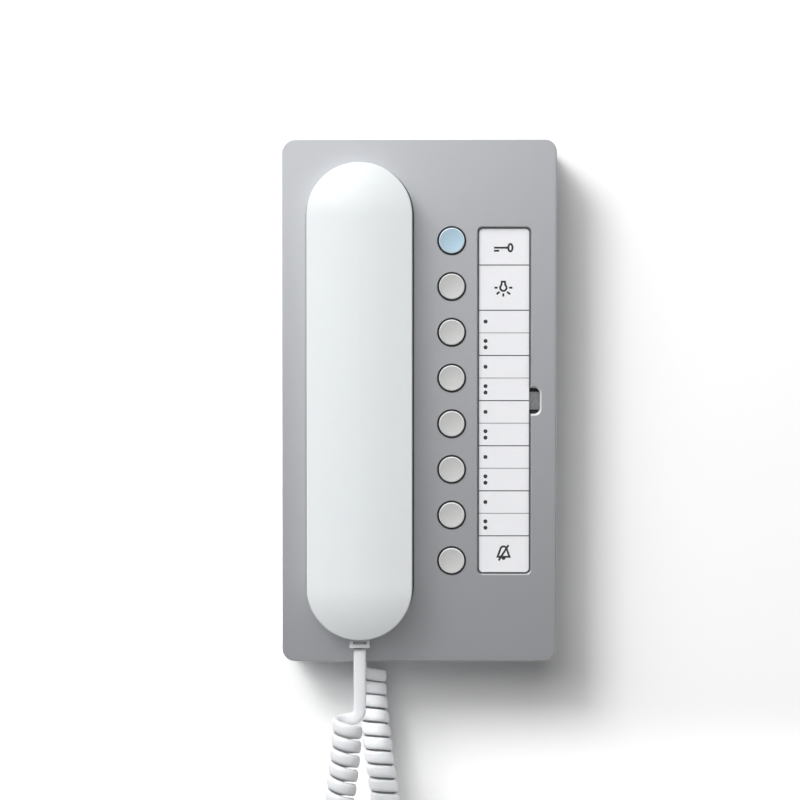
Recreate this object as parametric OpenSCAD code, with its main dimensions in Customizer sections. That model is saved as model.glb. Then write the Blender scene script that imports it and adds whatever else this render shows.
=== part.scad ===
// Wall-mounted intercom phone: housing with eight buttons, lift-off handset and curly cord
// Sizes are in millimetres. The wall is the plane y = 0 and the front looks along -y.

/* [Housing] */
// Width of the housing
housing_w = 105; // [102:1:130]
// Height of the housing
housing_h = 200; // [198:1:240]
// Distance of the housing's front face from the wall
housing_d = 28; // [26.5:0.5:36]
// Radius of the housing's corners seen from the front
corner_r = 4.8; // [3:0.1:8]
// Fillet round the edge of the front face
edge_r = 0.4; // [0.3:0.1:2]
// Thickness of the housing's walls
wall_t = 2.2; // [1.8:0.1:2.6]
// Gap between the housing's rear rim and the wall
rim_lift = 0.5; // [0.2:0.1:1]

/* [Handset] */
// Width of the handset, twice the radius of its round ends
handset_w = 40; // [38:0.2:42]
// Length of the handset
handset_l = 180.8; // [172:0.2:184]
// Sideways place of the handset's centre line
handset_x = -22.7; // [-25:0.1:-22]
// Height of the handset's crown above the housing's front face
handset_rise = 18; // [17:0.5:24]
// Height of the crowned back above its shoulders
crown_h = 3.8; // [2.5:0.1:6]
// Fillet between the crowned back and the sides
shoulder_r = 0.8; // [0.5:0.1:4]
// Thickness of the handset's outer shell
shell_t = 2; // [1.5:0.1:2.2]
// Thickness of the handset's inner shell
inner_t = 2; // [1.5:0.1:2]
// Radius of the ear and mouth pads
pad_r = 16; // [15:0.2:16.4]
// Height of the ear and mouth pads
pad_h = 5.6; // [4.6:0.1:6]

/* [Cradle] */
// Depth of the handset's seat below the front face
seat_depth = 2.6; // [1.8:0.1:2.8]
// Gap between the handset's side and its seat
seat_gap = 0.7; // [0.7:0.05:1.1]
// Thickness of the seat's floor
seat_t = 2; // [1.6:0.1:2.4]
// Mean gap between a pad and its well
well_gap = 1.3; // [1.3:0.1:1.6]
// Upward shift of the wells, so that the pads hang on their lower walls
well_shift = 1; // [0.8:0.1:1]
// Thickness of the wells' floors
well_t = 1.8; // [1.2:0.1:1.8]

/* [Buttons] */
// Diameter of a button's cap
button_d = 9.7; // [8:0.1:10.4]
// Gap between a cap and its hole
button_gap = 0.55; // [0.3:0.05:0.6]
// Distance from one button to the next
button_pitch = 17.5; // [16:0.1:18.5]
// Sideways place of the column of buttons
button_x = 12.4; // [12:0.1:13]
// Height of the caps above the front face
button_proud = 1.2; // [0.5:0.1:2.5]
// Depth of a cap's dished top
button_dish = 0.4; // [0.2:0.1:0.8]
// How far a button can be pressed
button_travel = 1; // [0.6:0.1:1.4]

/* [Label window] */
// Width of the window
window_w = 20.3; // [18:0.1:20.5]
// Height of the window
window_h = 132.8; // [120:0.2:150]
// Sideways place of the window's centre
window_x = 32.5; // [32.2:0.1:34]
// Radius of the window's corners
window_r = 1.8; // [1:0.1:3]
// Thickness of the clear cover
cover_t = 1.3; // [0.8:0.1:1.6]
// Gap round the clear cover
cover_gap = 0.3; // [0.2:0.05:0.5]
// Thickness of the paper strip
label_t = 0.3; // [0.2:0.05:0.5]
// Reach of the pry notch beside the window
notch_w = 3.4; // [2.5:0.1:4]
// Height of the pry notch
notch_h = 9.8; // [8:0.2:14]
// Depth of the pry notch's two end pockets
notch_depth = 4; // [2:0.1:4.5]

/* [Hook contact] */
// Place of the plunger along the handset
hook_z = -28; // [-30:1:-26]
// Diameter of the plunger's head
hook_d = 7; // [5:0.1:7.4]
// How far the plunger comes out when the handset is lifted
hook_travel = 3.6; // [2.4:0.1:3.8]

/* [Electronics] */
// Distance of the circuit board behind the front face
board_drop = 12.5; // [11.5:0.1:12.8]
// Thickness of the circuit board
board_t = 1.6; // [1:0.1:1.6]
// Diameter of the call loudspeaker
speaker_d = 39; // [34:0.5:39]
// Place of the call loudspeaker along the handset
speaker_z = 22; // [21:1:26]
// Number of screw terminals
terminal_count = 6; // [4:1:6]
// Distance from one terminal to the next
terminal_pitch = 5; // [4.5:0.1:5.2]

/* [Wall fixing] */
// Thickness of the base plate
plate_t = 2.5; // [2:0.1:3]
// Sideways distance between the outer wall screws
screw_dx = 76; // [70:1:80]
// Upright distance between the outer wall screws
screw_dz = 150; // [140:1:156]
// Distance between the two screws of a flush wall box
box_dx = 60; // [60:1:64]
// Diameter of the holes for the wall screws
screw_hole_d = 4.5; // [3.5:0.1:5]
// Width of the cable entry
entry_w = 46; // [30:1:46]
// Height of the cable entry
entry_h = 36; // [24:1:40]

/* [Modular plugs] */
// Width of a plug
plug_w = 7.6; // [7:0.1:8]
// Thickness of a plug's body
plug_t = 6.2; // [5.6:0.1:6.2]
// Length of a plug
plug_l = 13; // [12:0.1:14]
// How far the handset's plug stands out of the handset
plug_out = 3.2; // [3:0.1:5]
// Height of the handset's plug above the front face
plug_rise = 7.6; // [6:0.1:7.8]
// Gap between the base jack and the mouth well above it
jack_gap = 1.75; // [1.35:0.05:2.25]
// How far the base plug's end lies above the housing's bottom edge
base_plug_in = 2.6; // [2:0.1:4]

/* [Cord] */
// Width of the flat cord
cord_w = 4.6; // [3.6:0.1:4.8]
// Thickness of the flat cord
cord_t = 2.4; // [1.8:0.1:2.6]
// Radius of the curls at the middle of the cord
curl_r = 4.6; // [4:0.1:5]
// Number of curls
curls = 58; // [40:1:66]
// Length of the straight lead at the handset
handset_lead = 24; // [18:1:26]
// Length of the straight lead at the base
base_lead = 6; // [5:0.5:10]

/* [Hidden] */
$fa = 4;
$fs = 0.35;

// Small clearances and the overrun of cuts
cut = 1;
fit = 0.15;
touch = 0.1;
rest_gap = 0.3;
run_gap = 0.4;

// Depths of the housing, all measured from the wall
front_in = housing_d - wall_t;
front_mid = housing_d - wall_t / 2;
seat_top = housing_d - seat_depth;
seat_mid = seat_top - seat_t / 2;
seat_under = seat_top - seat_t;

// Depths of the handset
rim_d = seat_top + run_gap;
inner_face = rim_d + run_gap;
inner_back = inner_face + inner_t;
pad_face = inner_face - pad_h;
pad_floor_t = 1.6;
pad_inside = pad_face + pad_floor_t;
handset_top = housing_d + handset_rise;
end_z = (handset_l - handset_w) / 2;
shell_in_r = handset_w / 2 - shell_t;
shell_in_fillet = 1;

// Depths of the wells below the cradle's floor
well_top = pad_face - 2 * run_gap;
well_under = well_top - well_t;
well_r = pad_r + well_gap;
well_wall = 1.6;

// Stack under the buttons
board_top = housing_d - board_drop;
board_under = board_top - board_t;
mat_t = 1.2;
mat_margin = 2;
mat_top = board_top + mat_t;
dome_rest = 2.2;
dome_h = button_travel + dome_rest;
dome_top = mat_top + dome_h;
dome_foot_r = 5.2;
dome_top_r = 3;
dome_wall = 0.9;
pill_r = 1.4;
flange_t = 1.2;
flange_reach = 0.8;
flange_r = button_d / 2 + button_gap + flange_reach;
flange_top = front_in - rest_gap;
collar_t = 1.2;
collar_in_r = flange_r + run_gap;
collar_low = flange_top - flange_t - button_travel - run_gap;
button_stem_r = 2.8;
cap_fillet = 0.4;
dish_flat_r = 0.5;
hole_chamfer = 0.25;
cap_top = housing_d + button_proud;
button_count = 8;
last_button = button_count - 1;
door_color = "lightblue";
key_color = "gainsboro";

// Label window
recess_floor_t = 1.5;
cover_top = housing_d - touch;
label_top = cover_top - cover_t - touch;
recess_top = label_top - label_t;
label_margin = 0.3;
window_chamfer = 0.4;
notch_r = 2;
notch_in = 2;
notch_x = window_x + (window_w + notch_w - notch_in) / 2;
notch_chamfer = 0.8;
notch_floor_t = 1.3;
notch_top = housing_d - notch_depth;
notch_pad_h = 6.8;
notch_pad_drop = 0.8;
tub_wall = 1.5;

// Hook contact
hook_flange_t = 1.2;
hook_flange_reach = 1.9;
hook_flange_r = hook_d / 2 + hook_flange_reach;
hook_flange_top = seat_under - hook_travel - fit;
hook_flange_low = hook_flange_top - hook_flange_t;
hook_head_top = inner_face - rest_gap;
hook_head_fillet = 1;
hook_stem_r = 2;
hook_guide_wall = 1.5;
hook_guide_r = hook_flange_r + run_gap;
hook_stem_gap = 0.6;
hook_hole_r = hook_stem_r + hook_stem_gap;
switch_w = 12.8;
switch_l = 5.8;
switch_h = 6.5;
switch_key_w = 2.6;
switch_key_l = 1.6;
switch_key_h = 0.7;
spring_wire = 0.5;
spring_turns = 2.5;
spring_gap = 1.3;
spring_r = hook_stem_r + spring_gap;

// Circuit board, its posts and its screws
board_reach = 10.4;
board_left = button_x - board_reach;
board_margin = 2.3;
board_right = housing_w / 2 - wall_t - board_margin;
board_end_margin = 9.8;
board_h = housing_h - 2 * (wall_t + board_end_margin);
board_arm_h = 28;
board_arm_reach = 16;
board_arm_left = handset_x - board_arm_reach;
post_r = 3;
post_inset = 4;
post_hole_r = 1.1;
post_hole_deep = 6.5;
board_hole_r = 1.6;
arm_post_reach = 11.8;
arm_post_x = handset_x - arm_post_reach;
post_places = [
    [board_left + post_inset, board_h / 2 - post_inset],
    [board_left + post_inset, post_inset - board_h / 2],
    [board_right - post_inset, board_h / 2 - post_inset],
    [board_right - post_inset, post_inset - board_h / 2],
    [arm_post_x, hook_z]
];
screw_head_r = 2.5;
screw_head_t = 1.6;
board_screw_l = 7.5;
slot_t = 0.6;
slot_deep = 0.7;

// Terminals on the back of the board
terminal_end = 0.5;
terminal_w = terminal_count * terminal_pitch + 2 * terminal_end;
terminal_l = 9.6;
terminal_gap = 1.8;
terminal_h = board_under - plate_t - terminal_gap;
terminal_low = board_under - terminal_h;
terminal_x = (board_left + board_right) / 2;
terminal_z = 44;
terminal_well_r = 1.9;
terminal_well_share = 0.42;
terminal_well_deep = terminal_well_share * terminal_h;
terminal_screw_t = 2;
wire_hole = 2.6;

// Call loudspeaker
gasket_t = 1;
gasket_w = 3;
speaker_top = seat_under - gasket_t;
speaker_rim_t = 1.2;
speaker_basket_h = 3.6;
speaker_magnet_r = 9;
speaker_magnet_h = 3;
speaker_ring_t = 1.4;
speaker_ring_h = 4;
sound_hole_r = 0.9;
sound_rings = 3;
sound_step = 4.2;

// Base plate
plate_w = housing_w - 2 * (wall_t + run_gap);
plate_h = housing_h - 2 * (wall_t + run_gap);
plate_r = max(corner_r - wall_t - run_gap, 0.8);
lip_t = 1.6;
lip_h = 6;
lip_top = plate_t + lip_h;
pad_boss_r = 5.4;
pad_boss_h = 2;
screw_seat_r = 4.2;
rib_t = 1.6;
rib_h = 3;
catch_l = 8;
catch_out = 0.9;
catch_rise = 3.4;
catch_low = plate_t + catch_rise;
catch_h = 1.6;
catch_inset = 40;
catch_z = housing_h / 2 - catch_inset;

// Modular jacks and plugs
lever_w = 3;
lever_t = 0.7;
lever_gap = 0.6;
jack_wall = 1;
jack_side = 1.5;
jack_w = plug_w + 2 * (fit + jack_side);
jack_l = 11;
jack_low = plug_t / 2 + lever_gap + lever_t + fit + jack_wall;
jack_high = plug_t / 2 + fit + jack_wall;
handset_plug_d = housing_d + plug_rise;
handset_plug_z = -handset_l / 2 - plug_out;
base_plug_d = well_under - jack_gap - jack_high;
base_plug_z = base_plug_in - housing_h / 2;
jack_corner_r = shell_in_r - rest_gap;
handset_jack_z = -end_z - sqrt(jack_corner_r * jack_corner_r - jack_w * jack_w / 4);
base_plug_grip = 3;
base_jack_z = base_plug_z + base_plug_grip;
jack_seat_wall = 1.6;
jack_cheek_h = 4;
grip_slot_w = 5;
grip_slot_t = 0.9;
grip_slot_deep = 0.8;
grip_slot_z = 1.9;
contact_count = 4;
contact_pitch = 1.02;
contact_w = 0.5;
contact_l = 3;
contact_deep = 1;

// Handset insides
capsule_r = 13.4;
capsule_h = 8;
seal_t = 1;
seal_w = 2.6;
capsule_bore_r = capsule_r + fit;
mic_r = 4.85;
mic_h = 4.4;
mic_holder_r = 8;
mic_holder_h = inner_back - pad_inside - fit;
mic_floor_t = 0.8;
pad_chamfer = 1;
ear_hole_r = 0.8;
ear_hole_step = 3.4;
mouth_hole_step = 2.6;
weight_w = 20;
weight_l = 62;
weight_t = 5;
weight_r = 2;
weight_rib_t = 1.2;
weight_rib_h = 2.5;
handset_screw_z = 44;
handset_boss_r = 3.2;
handset_screw_r = 1.35;
handset_screw_l = 9;
handset_head_r = 2.7;
handset_hole_r = 1.6;

// How the cord's centre line hangs below its two ends, chosen by hand from the handset to the base
sag = [
    [0, 0, 0], [0, 0, -11.4], [0, 0, -23.4], [-1.5, -1.8, -39.2], [-4, -3.1, -56.1],
    [-7.5, -4, -77.9], [-11, -3.8, -101.7], [-13.5, -3.6, -125.6], [-13.5, -2.9, -147.4],
    [-9.5, -1.6, -165.2], [-2, -0.2, -175.1], [6.4, 0.5, -172.9], [12.9, 0.9, -160.8],
    [14.9, 1, -141.6], [13.9, 0.6, -118.4], [11.4, 0.2, -94.3], [8.4, -0.3, -72.1],
    [5.2, -0.7, -51.9], [2, -0.2, -31.8], [0, 0, -16.6], [0, 0, -7.6], [0, 0, 0]
];
lead_points = 2;
route_steps = 8;
rings_per_curl = 8;
loop_normal = [0.8, -0.6, 0];
handset_angle = 126.87;
base_angle = 53.13;
lead_bend_r = 3.4;
lead_side = 4.4;
curl_slope = 10;
bend_rings = 4;
lead_rings = 3;

// Turns the drawing plane so that x is right, y is up and z is out from the wall
module on_wall() {
    rotate([90, 0, 0])
        children();
}

// Outline with four round corners
module round_rect(w, h, r) {
    square([w - 2 * r, h], center = true);
    square([w, h - 2 * r], center = true);
    for (sx = [-1, 1], sy = [-1, 1])
        translate([sx * (w / 2 - r), sy * (h / 2 - r)])
            circle(r);
}

// Outline with two half-round ends, longer along y
module stadium(w, l) {
    square([w, l - w], center = true);
    for (s = [-1, 1])
        translate([0, s * (l - w) / 2])
            circle(w / 2);
}

// Round tube standing on z
module ring(r_out, r_in, h) {
    difference() {
        cylinder(r = r_out, h = h);
        translate([0, 0, -cut])
            cylinder(r = r_in, h = h + 2 * cut);
    }
}

// Holes on circles round one centre hole
module hole_rose(r, step, rings, h) {
    cylinder(r = r, h = h);
    for (k = [1:rings], i = [0:6 * k - 1])
        rotate(60 * i / k)
            translate([k * step, 0, 0])
                cylinder(r = r, h = h);
}

// Moves its children to a place on the front and a depth from the wall
module at_depth(x, z, d) {
    translate([x, z, d])
        children();
}

// Side view of the housing's filleted front edge over a full width
module edge_section(w) {
    depth = housing_d - rim_lift;
    translate([-w / 2, rim_lift])
        square([w, depth - edge_r]);
    translate([edge_r - w / 2, rim_lift])
        square([w - 2 * edge_r, depth]);
    for (s = [-1, 1])
        translate([s * (w / 2 - edge_r), housing_d - edge_r])
            circle(edge_r);
}

// Outer form of the housing with its round corners and filleted front edge
module housing_block() {
    rotate([90, 0, 90])
        linear_extrude(housing_w - 2 * corner_r, center = true)
            edge_section(housing_h);
    rotate([90, 0, 0])
        linear_extrude(housing_h - 2 * corner_r, center = true)
            edge_section(housing_w);
    for (sx = [-1, 1], sz = [-1, 1])
        translate([sx * (housing_w / 2 - corner_r), sz * (housing_h / 2 - corner_r), 0])
            rotate_extrude()
                intersection() {
                    edge_section(2 * corner_r);
                    square([corner_r, housing_d]);
                }
}

// Handset seat, with the tub that carries it when grown by a wall
module seat_form(grow, low, high) {
    at_depth(handset_x, 0, low)
        linear_extrude(high - low)
            stadium(handset_w + 2 * (seat_gap + grow), handset_l + 2 * (seat_gap + grow));
}

// Ear and mouth wells, grown by a wall for their tubs
module well_forms(grow, low, high) {
    for (s = [-1, 1])
        at_depth(handset_x, s * end_z + well_shift, low)
            cylinder(r = well_r + grow, h = high - low);
}

// Label window and pry notch
module window_form(grow, low, high) {
    at_depth(window_x, 0, low)
        linear_extrude(high - low)
            round_rect(window_w + 2 * grow, window_h + 2 * grow, window_r + grow);
}

module notch_form(grow, low, high) {
    at_depth(notch_x, 0, low)
        linear_extrude(high - low)
            round_rect(notch_w + notch_in + 2 * grow, notch_h + 2 * grow, notch_r + grow);
}

// Pry notch that runs in under the cover: a floor just below the label between two deep pockets
module notch_cut() {
    pad_top = recess_top - notch_pad_drop;
    difference() {
        notch_form(0, notch_top, housing_d + cut);
        translate([window_x + window_w / 2 - notch_in - cut, -notch_pad_h / 2, notch_top - cut])
            cube([notch_w + notch_in + 2 * cut, notch_pad_h, pad_top - notch_top + cut]);
    }
}

// Side view of a cut that widens on both sides by as much as it is high
module flare_section(half, flare) {
    polygon([[-half, 0], [half, 0], [half + flare, flare], [-half - flare, flare]]);
}

// Chamfering cut that widens upwards from an outline with four round corners
module flared_rect(w, h, r, flare) {
    rotate([90, 0, 0])
        linear_extrude(h - 2 * r, center = true)
            flare_section(w / 2, flare);
    rotate([90, 0, 90])
        linear_extrude(w - 2 * r, center = true)
            flare_section(h / 2, flare);
    for (sx = [-1, 1], sy = [-1, 1])
        translate([sx * (w / 2 - r), sy * (h / 2 - r), 0])
            cylinder(r1 = r, r2 = r + flare, h = flare);
}

// Chamfers of the window, the pry notch and the button holes
module front_chamfers() {
    hole_r = button_d / 2 + button_gap;
    at_depth(window_x, 0, housing_d - window_chamfer)
        flared_rect(window_w, window_h, window_r, window_chamfer + touch);
    at_depth(notch_x, 0, housing_d - notch_chamfer)
        flared_rect(notch_w + notch_in, notch_h, notch_r, notch_chamfer + touch);
    at_buttons()
        translate([0, 0, housing_d - hole_chamfer])
            cylinder(r1 = hole_r, r2 = hole_r + hole_chamfer + touch, h = hole_chamfer + touch);
}

// Calls its children once at each button
module at_buttons() {
    for (i = [0:last_button])
        translate([button_x, button_z(i), 0])
            children();
}

function button_z(i) = (last_button / 2 - i) * button_pitch;

// Opening in the housing's bottom wall for the base plug and its lead
module cord_notch() {
    translate([handset_x - jack_w / 2, -housing_h / 2 - cut, rim_lift - cut])
        cube([jack_w, wall_t + 2 * cut, base_plug_d + jack_high - rim_lift + cut]);
}

// Pockets in the side walls for the base plate's catches
module catch_pockets() {
    for (sx = [-1, 1], sz = [-1, 1])
        translate([sx * (housing_w / 2 - wall_t), sz * catch_z, catch_low - run_gap])
            linear_extrude(catch_h + 2 * run_gap)
                square([2 * (catch_out - run_gap / 2), catch_l + 2 * run_gap], center = true);
}

module front_housing() {
    color("silver")
        on_wall()
            difference() {
                union() {
                    difference() {
                        housing_block();
                        translate([0, 0, rim_lift - cut])
                            linear_extrude(front_in - rim_lift + cut)
                                round_rect(housing_w - 2 * wall_t, housing_h - 2 * wall_t,
                                    corner_r - wall_t);
                    }
                    seat_form(seat_t, seat_under, front_mid);
                    well_forms(well_wall, well_under, seat_mid);
                    window_form(tub_wall, recess_top - recess_floor_t, front_mid);
                    notch_form(tub_wall, notch_top - notch_floor_t, front_mid);
                    housing_posts();
                    hook_guide();
                    speaker_ring();
                    button_collars();
                }
                seat_form(0, seat_top, housing_d + cut);
                well_forms(0, well_top, seat_top + cut);
                window_form(0, recess_top, housing_d + cut);
                notch_cut();
                front_chamfers();
                at_buttons()
                    translate([0, 0, front_in - cut])
                        cylinder(d = button_d + 2 * button_gap, h = wall_t + 2 * cut);
                at_depth(handset_x, hook_z, seat_under - cut)
                    cylinder(d = hook_d + 2 * run_gap, h = seat_t + 2 * cut);
                at_depth(handset_x, speaker_z, seat_under - cut)
                    hole_rose(sound_hole_r, sound_step, sound_rings, seat_t + 2 * cut);
                for (p = post_places)
                    at_depth(p[0], p[1], board_top - cut)
                        cylinder(r = post_hole_r, h = post_hole_deep + cut);
                cord_notch();
                catch_pockets();
            }
}

// Posts that carry the circuit board
module housing_posts() {
    for (p = post_places)
        at_depth(p[0], p[1], board_top)
            cylinder(r = post_r, h = (p[0] < board_left ? seat_mid : front_mid) - board_top);
}

// Round guide under the cradle's floor for the plunger's flange
module hook_guide() {
    low = hook_flange_low - run_gap;
    at_depth(handset_x, hook_z, low)
        ring(hook_guide_r + hook_guide_wall, hook_guide_r, seat_mid - low);
}

// Ring wall that centres the call loudspeaker
module speaker_ring() {
    inside = speaker_d / 2 + run_gap;
    at_depth(handset_x, speaker_z, seat_under - speaker_ring_h)
        ring(inside + speaker_ring_t, inside, seat_mid - seat_under + speaker_ring_h);
}

// Collars behind the front wall that guide the buttons' flanges
module button_collars() {
    at_buttons()
        translate([0, 0, collar_low])
            ring(collar_in_r + collar_t, collar_in_r, front_in - collar_low + wall_t / 4);
}

module base_plate() {
    color("dimgray")
        on_wall()
            difference() {
                union() {
                    linear_extrude(plate_t)
                        round_rect(plate_w, plate_h, plate_r);
                    plate_lip();
                    for (sx = [-1, 1], sz = [-1, 1])
                        translate([sx * screw_dx / 2, sz * screw_dz / 2, plate_t / 2])
                            cylinder(r = pad_boss_r, h = plate_t / 2 + pad_boss_h);
                    plate_ribs();
                    jack_seat();
                    plate_catches();
                }
                for (sx = [-1, 1], sz = [-1, 1])
                    translate([sx * screw_dx / 2, sz * screw_dz / 2, 0]) {
                        translate([0, 0, -cut])
                            cylinder(d = screw_hole_d, h = plate_t + 2 * cut);
                        translate([0, 0, plate_t])
                            cylinder(r = screw_seat_r, h = pad_boss_h + cut);
                    }
                for (sx = [-1, 1])
                    translate([sx * box_dx / 2, 0, -cut])
                        cylinder(d = screw_hole_d, h = plate_t + 2 * cut);
                translate([0, 0, -cut])
                    linear_extrude(plate_t + rib_h + 2 * cut)
                        round_rect(entry_w, entry_h, plate_r);
                translate([handset_x - jack_w / 2, -housing_h / 2, plate_t])
                    cube([jack_w, wall_t + run_gap + lip_t + cut, lip_top]);
            }
}

// Low wall round the plate that locates the housing
module plate_lip() {
    linear_extrude(lip_top)
        difference() {
            round_rect(plate_w, plate_h, plate_r);
            square([plate_w - 2 * lip_t, plate_h - 2 * lip_t], center = true);
        }
}

// Stiffening ribs above and below the cable entry
module plate_ribs() {
    for (s = [-1, 1])
        translate([0, s * (entry_h / 2 + rib_t), plate_t / 2])
            linear_extrude(plate_t / 2 + rib_h)
                square([plate_w - lip_t, rib_t], center = true);
}

// Block under the base jack, with a cheek on each side of it
module jack_seat() {
    low = base_plug_d - jack_low;
    side = jack_w / 2 + fit;
    translate([handset_x - side - jack_seat_wall, base_jack_z, plate_t / 2])
        cube([2 * (side + jack_seat_wall), jack_l, low - plate_t / 2]);
    for (s = [-1, 1])
        translate([handset_x + s * (side + jack_seat_wall / 2), base_jack_z + jack_l / 2, low - cut])
            linear_extrude(jack_cheek_h + cut)
                square([jack_seat_wall, jack_l], center = true);
}

// Catches on the lip that hold the housing
module plate_catches() {
    for (sx = [-1, 1], sz = [-1, 1])
        translate([sx * plate_w / 2, sz * catch_z, catch_low])
            linear_extrude(catch_h)
                square([2 * catch_out, catch_l], center = true);
}

// Outline of the circuit board: a column behind the buttons and an arm under the cradle
module board_outline() {
    translate([board_left, -board_h / 2])
        square([board_right - board_left, board_h]);
    translate([board_arm_left, hook_z - board_arm_h / 2])
        square([board_left - board_arm_left + cut, board_arm_h]);
}

module circuit_board() {
    color("seagreen")
        on_wall()
            difference() {
                at_depth(0, 0, board_under)
                    linear_extrude(board_t)
                        board_outline();
                for (p = post_places)
                    at_depth(p[0], p[1], board_under - cut)
                        cylinder(r = board_hole_r, h = board_t + 2 * cut);
                at_depth(handset_x, hook_z, board_under - cut)
                    cylinder(r = hook_hole_r, h = board_t + 2 * cut);
            }
}

// Cheese-head screw with a slot, its head at z = 0 and its shank upwards
module screw(head_r, head_t, shank_r, shank_l) {
    difference() {
        union() {
            translate([0, 0, -head_t])
                cylinder(r = head_r, h = head_t);
            translate([0, 0, -head_t / 2])
                cylinder(r = shank_r, h = head_t / 2 + shank_l);
        }
        translate([0, 0, -head_t])
            cube([2 * head_r + cut, slot_t, 2 * slot_deep], center = true);
    }
}

module board_screws() {
    color("lightgray")
        on_wall()
            for (p = post_places)
                at_depth(p[0], p[1], board_under)
                    screw(screw_head_r, screw_head_t, post_hole_r - fit / 2, board_screw_l);
}

module key_mat() {
    half_w = dome_foot_r + mat_margin;
    color("darkslategray")
        on_wall()
            difference() {
                union() {
                    at_depth(button_x, 0, board_top)
                        linear_extrude(mat_t)
                            square([2 * half_w, last_button * button_pitch + 2 * half_w], center = true);
                    at_buttons()
                        translate([0, 0, mat_top])
                            cylinder(r1 = dome_foot_r, r2 = dome_top_r, h = dome_h);
                }
                at_buttons()
                    dome_hollow();
            }
}

// Hollow of one dome, with the contact pill left standing from its roof
module dome_hollow() {
    high = dome_h + mat_t - dome_wall;
    difference() {
        translate([0, 0, board_top - touch])
            cylinder(r1 = dome_foot_r - dome_wall / 2, r2 = dome_top_r - dome_wall, h = high + touch);
        translate([0, 0, board_top + button_travel])
            cylinder(r = pill_r, h = dome_h + mat_t);
    }
}

// One button: dished cap, flange behind the front wall and stem on its dome
module button(i, paint) {
    cap_r = button_d / 2;
    stem_low = dome_top + touch;
    color(paint)
        on_wall()
            translate([button_x, button_z(i), 0])
                rotate_extrude() {
                    translate([0, stem_low])
                        square([button_stem_r, flange_top - stem_low]);
                    translate([0, flange_top - flange_t])
                        square([flange_r, flange_t]);
                    difference() {
                        cap_rim(cap_r);
                        cap_dish(cap_r - cap_fillet);
                    }
                }
}

// Side view of a cap with its rim rounded off
module cap_rim(r) {
    low = flange_top - flange_t / 2;
    translate([0, low])
        square([r, cap_top - cap_fillet - low]);
    translate([0, low])
        square([r - cap_fillet, cap_top - low]);
    translate([r - cap_fillet, cap_top - cap_fillet])
        circle(cap_fillet);
}

// Side view of the round cut in a cap's top, with a small flat in its middle
module cap_dish(r) {
    low = cap_top - button_dish;
    dish_r = (r * r + button_dish * button_dish) / (2 * button_dish);
    flat_rise = dish_r - sqrt(dish_r * dish_r - dish_flat_r * dish_flat_r);
    difference() {
        translate([0, low + dish_r])
            circle(dish_r);
        square([r, low + flat_rise]);
    }
}

module door_button() {
    button(0, door_color);
}

module light_button() {
    button(1, key_color);
}

module call_button_1() {
    button(2, key_color);
}

module call_button_2() {
    button(3, key_color);
}

module call_button_3() {
    button(4, key_color);
}

module call_button_4() {
    button(5, key_color);
}

module call_button_5() {
    button(6, key_color);
}

module mute_button() {
    button(7, key_color);
}

module label_strip() {
    grow = -cover_gap - label_margin;
    color("white")
        on_wall()
            at_depth(window_x, 0, recess_top)
                linear_extrude(label_t)
                    round_rect(window_w + 2 * grow, window_h + 2 * grow, window_r - cover_gap);
}

module label_cover() {
    color("azure", 0.4)
        on_wall()
            window_form(-cover_gap, label_top + touch, cover_top);
}

module terminal_block() {
    color("darkgreen")
        on_wall()
            difference() {
                at_depth(terminal_x, terminal_z, terminal_low)
                    linear_extrude(terminal_h)
                        square([terminal_w, terminal_l], center = true);
                at_terminals()
                    translate([0, 0, terminal_low - cut])
                        cylinder(r = terminal_well_r, h = terminal_well_deep + cut);
                at_terminals()
                    translate([0, -terminal_l / 2, board_under - terminal_h / 3])
                        cube([wire_hole, terminal_l, wire_hole], center = true);
            }
}

// Calls its children once at each screw terminal
module at_terminals() {
    for (i = [0:terminal_count - 1])
        translate([terminal_x + (i - (terminal_count - 1) / 2) * terminal_pitch, terminal_z, 0])
            children();
}

module terminal_screws() {
    color("lightgray")
        on_wall()
            at_terminals()
                translate([0, 0, terminal_low + terminal_well_deep])
                    screw(terminal_well_r - fit, terminal_screw_t, terminal_well_r - 2 * fit, -touch);
}

module call_loudspeaker() {
    rim = speaker_d / 2;
    basket_low = speaker_top - speaker_rim_t - speaker_basket_h;
    color("dimgray")
        on_wall()
            at_depth(handset_x, speaker_z, 0)
                rotate_extrude()
                    difference() {
                        polygon([
                            [0, basket_low - speaker_magnet_h],
                            [speaker_magnet_r, basket_low - speaker_magnet_h],
                            [speaker_magnet_r, basket_low],
                            [rim - gasket_w, speaker_top - speaker_rim_t],
                            [rim, speaker_top - speaker_rim_t],
                            [rim, speaker_top],
                            [0, speaker_top]
                        ]);
                        polygon([
                            [0, basket_low + speaker_rim_t],
                            [speaker_magnet_r / 2, basket_low + speaker_rim_t],
                            [rim - gasket_w, speaker_top - speaker_rim_t / 2],
                            [rim - gasket_w, speaker_top + cut],
                            [0, speaker_top + cut]
                        ]);
                    }
}

module loudspeaker_gasket() {
    color("black")
        on_wall()
            at_depth(handset_x, speaker_z, speaker_top)
                ring(speaker_d / 2, speaker_d / 2 - gasket_w, gasket_t);
}

module hook_plunger() {
    head_r = hook_d / 2;
    key_top = board_under + switch_key_h;
    color("whitesmoke")
        on_wall()
            at_depth(handset_x, hook_z, 0)
                rotate_extrude() {
                    translate([0, key_top + touch])
                        square([hook_stem_r, hook_flange_top - key_top - touch]);
                    translate([0, hook_flange_low])
                        square([hook_flange_r, hook_flange_t]);
                    translate([0, hook_flange_low])
                        square([head_r, hook_head_top - hook_head_fillet - hook_flange_low]);
                    translate([0, hook_flange_low])
                        square([head_r - hook_head_fillet, hook_head_top - hook_flange_low]);
                    translate([head_r - hook_head_fillet, hook_head_top - hook_head_fillet])
                        circle(hook_head_fillet);
                }
}

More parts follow.
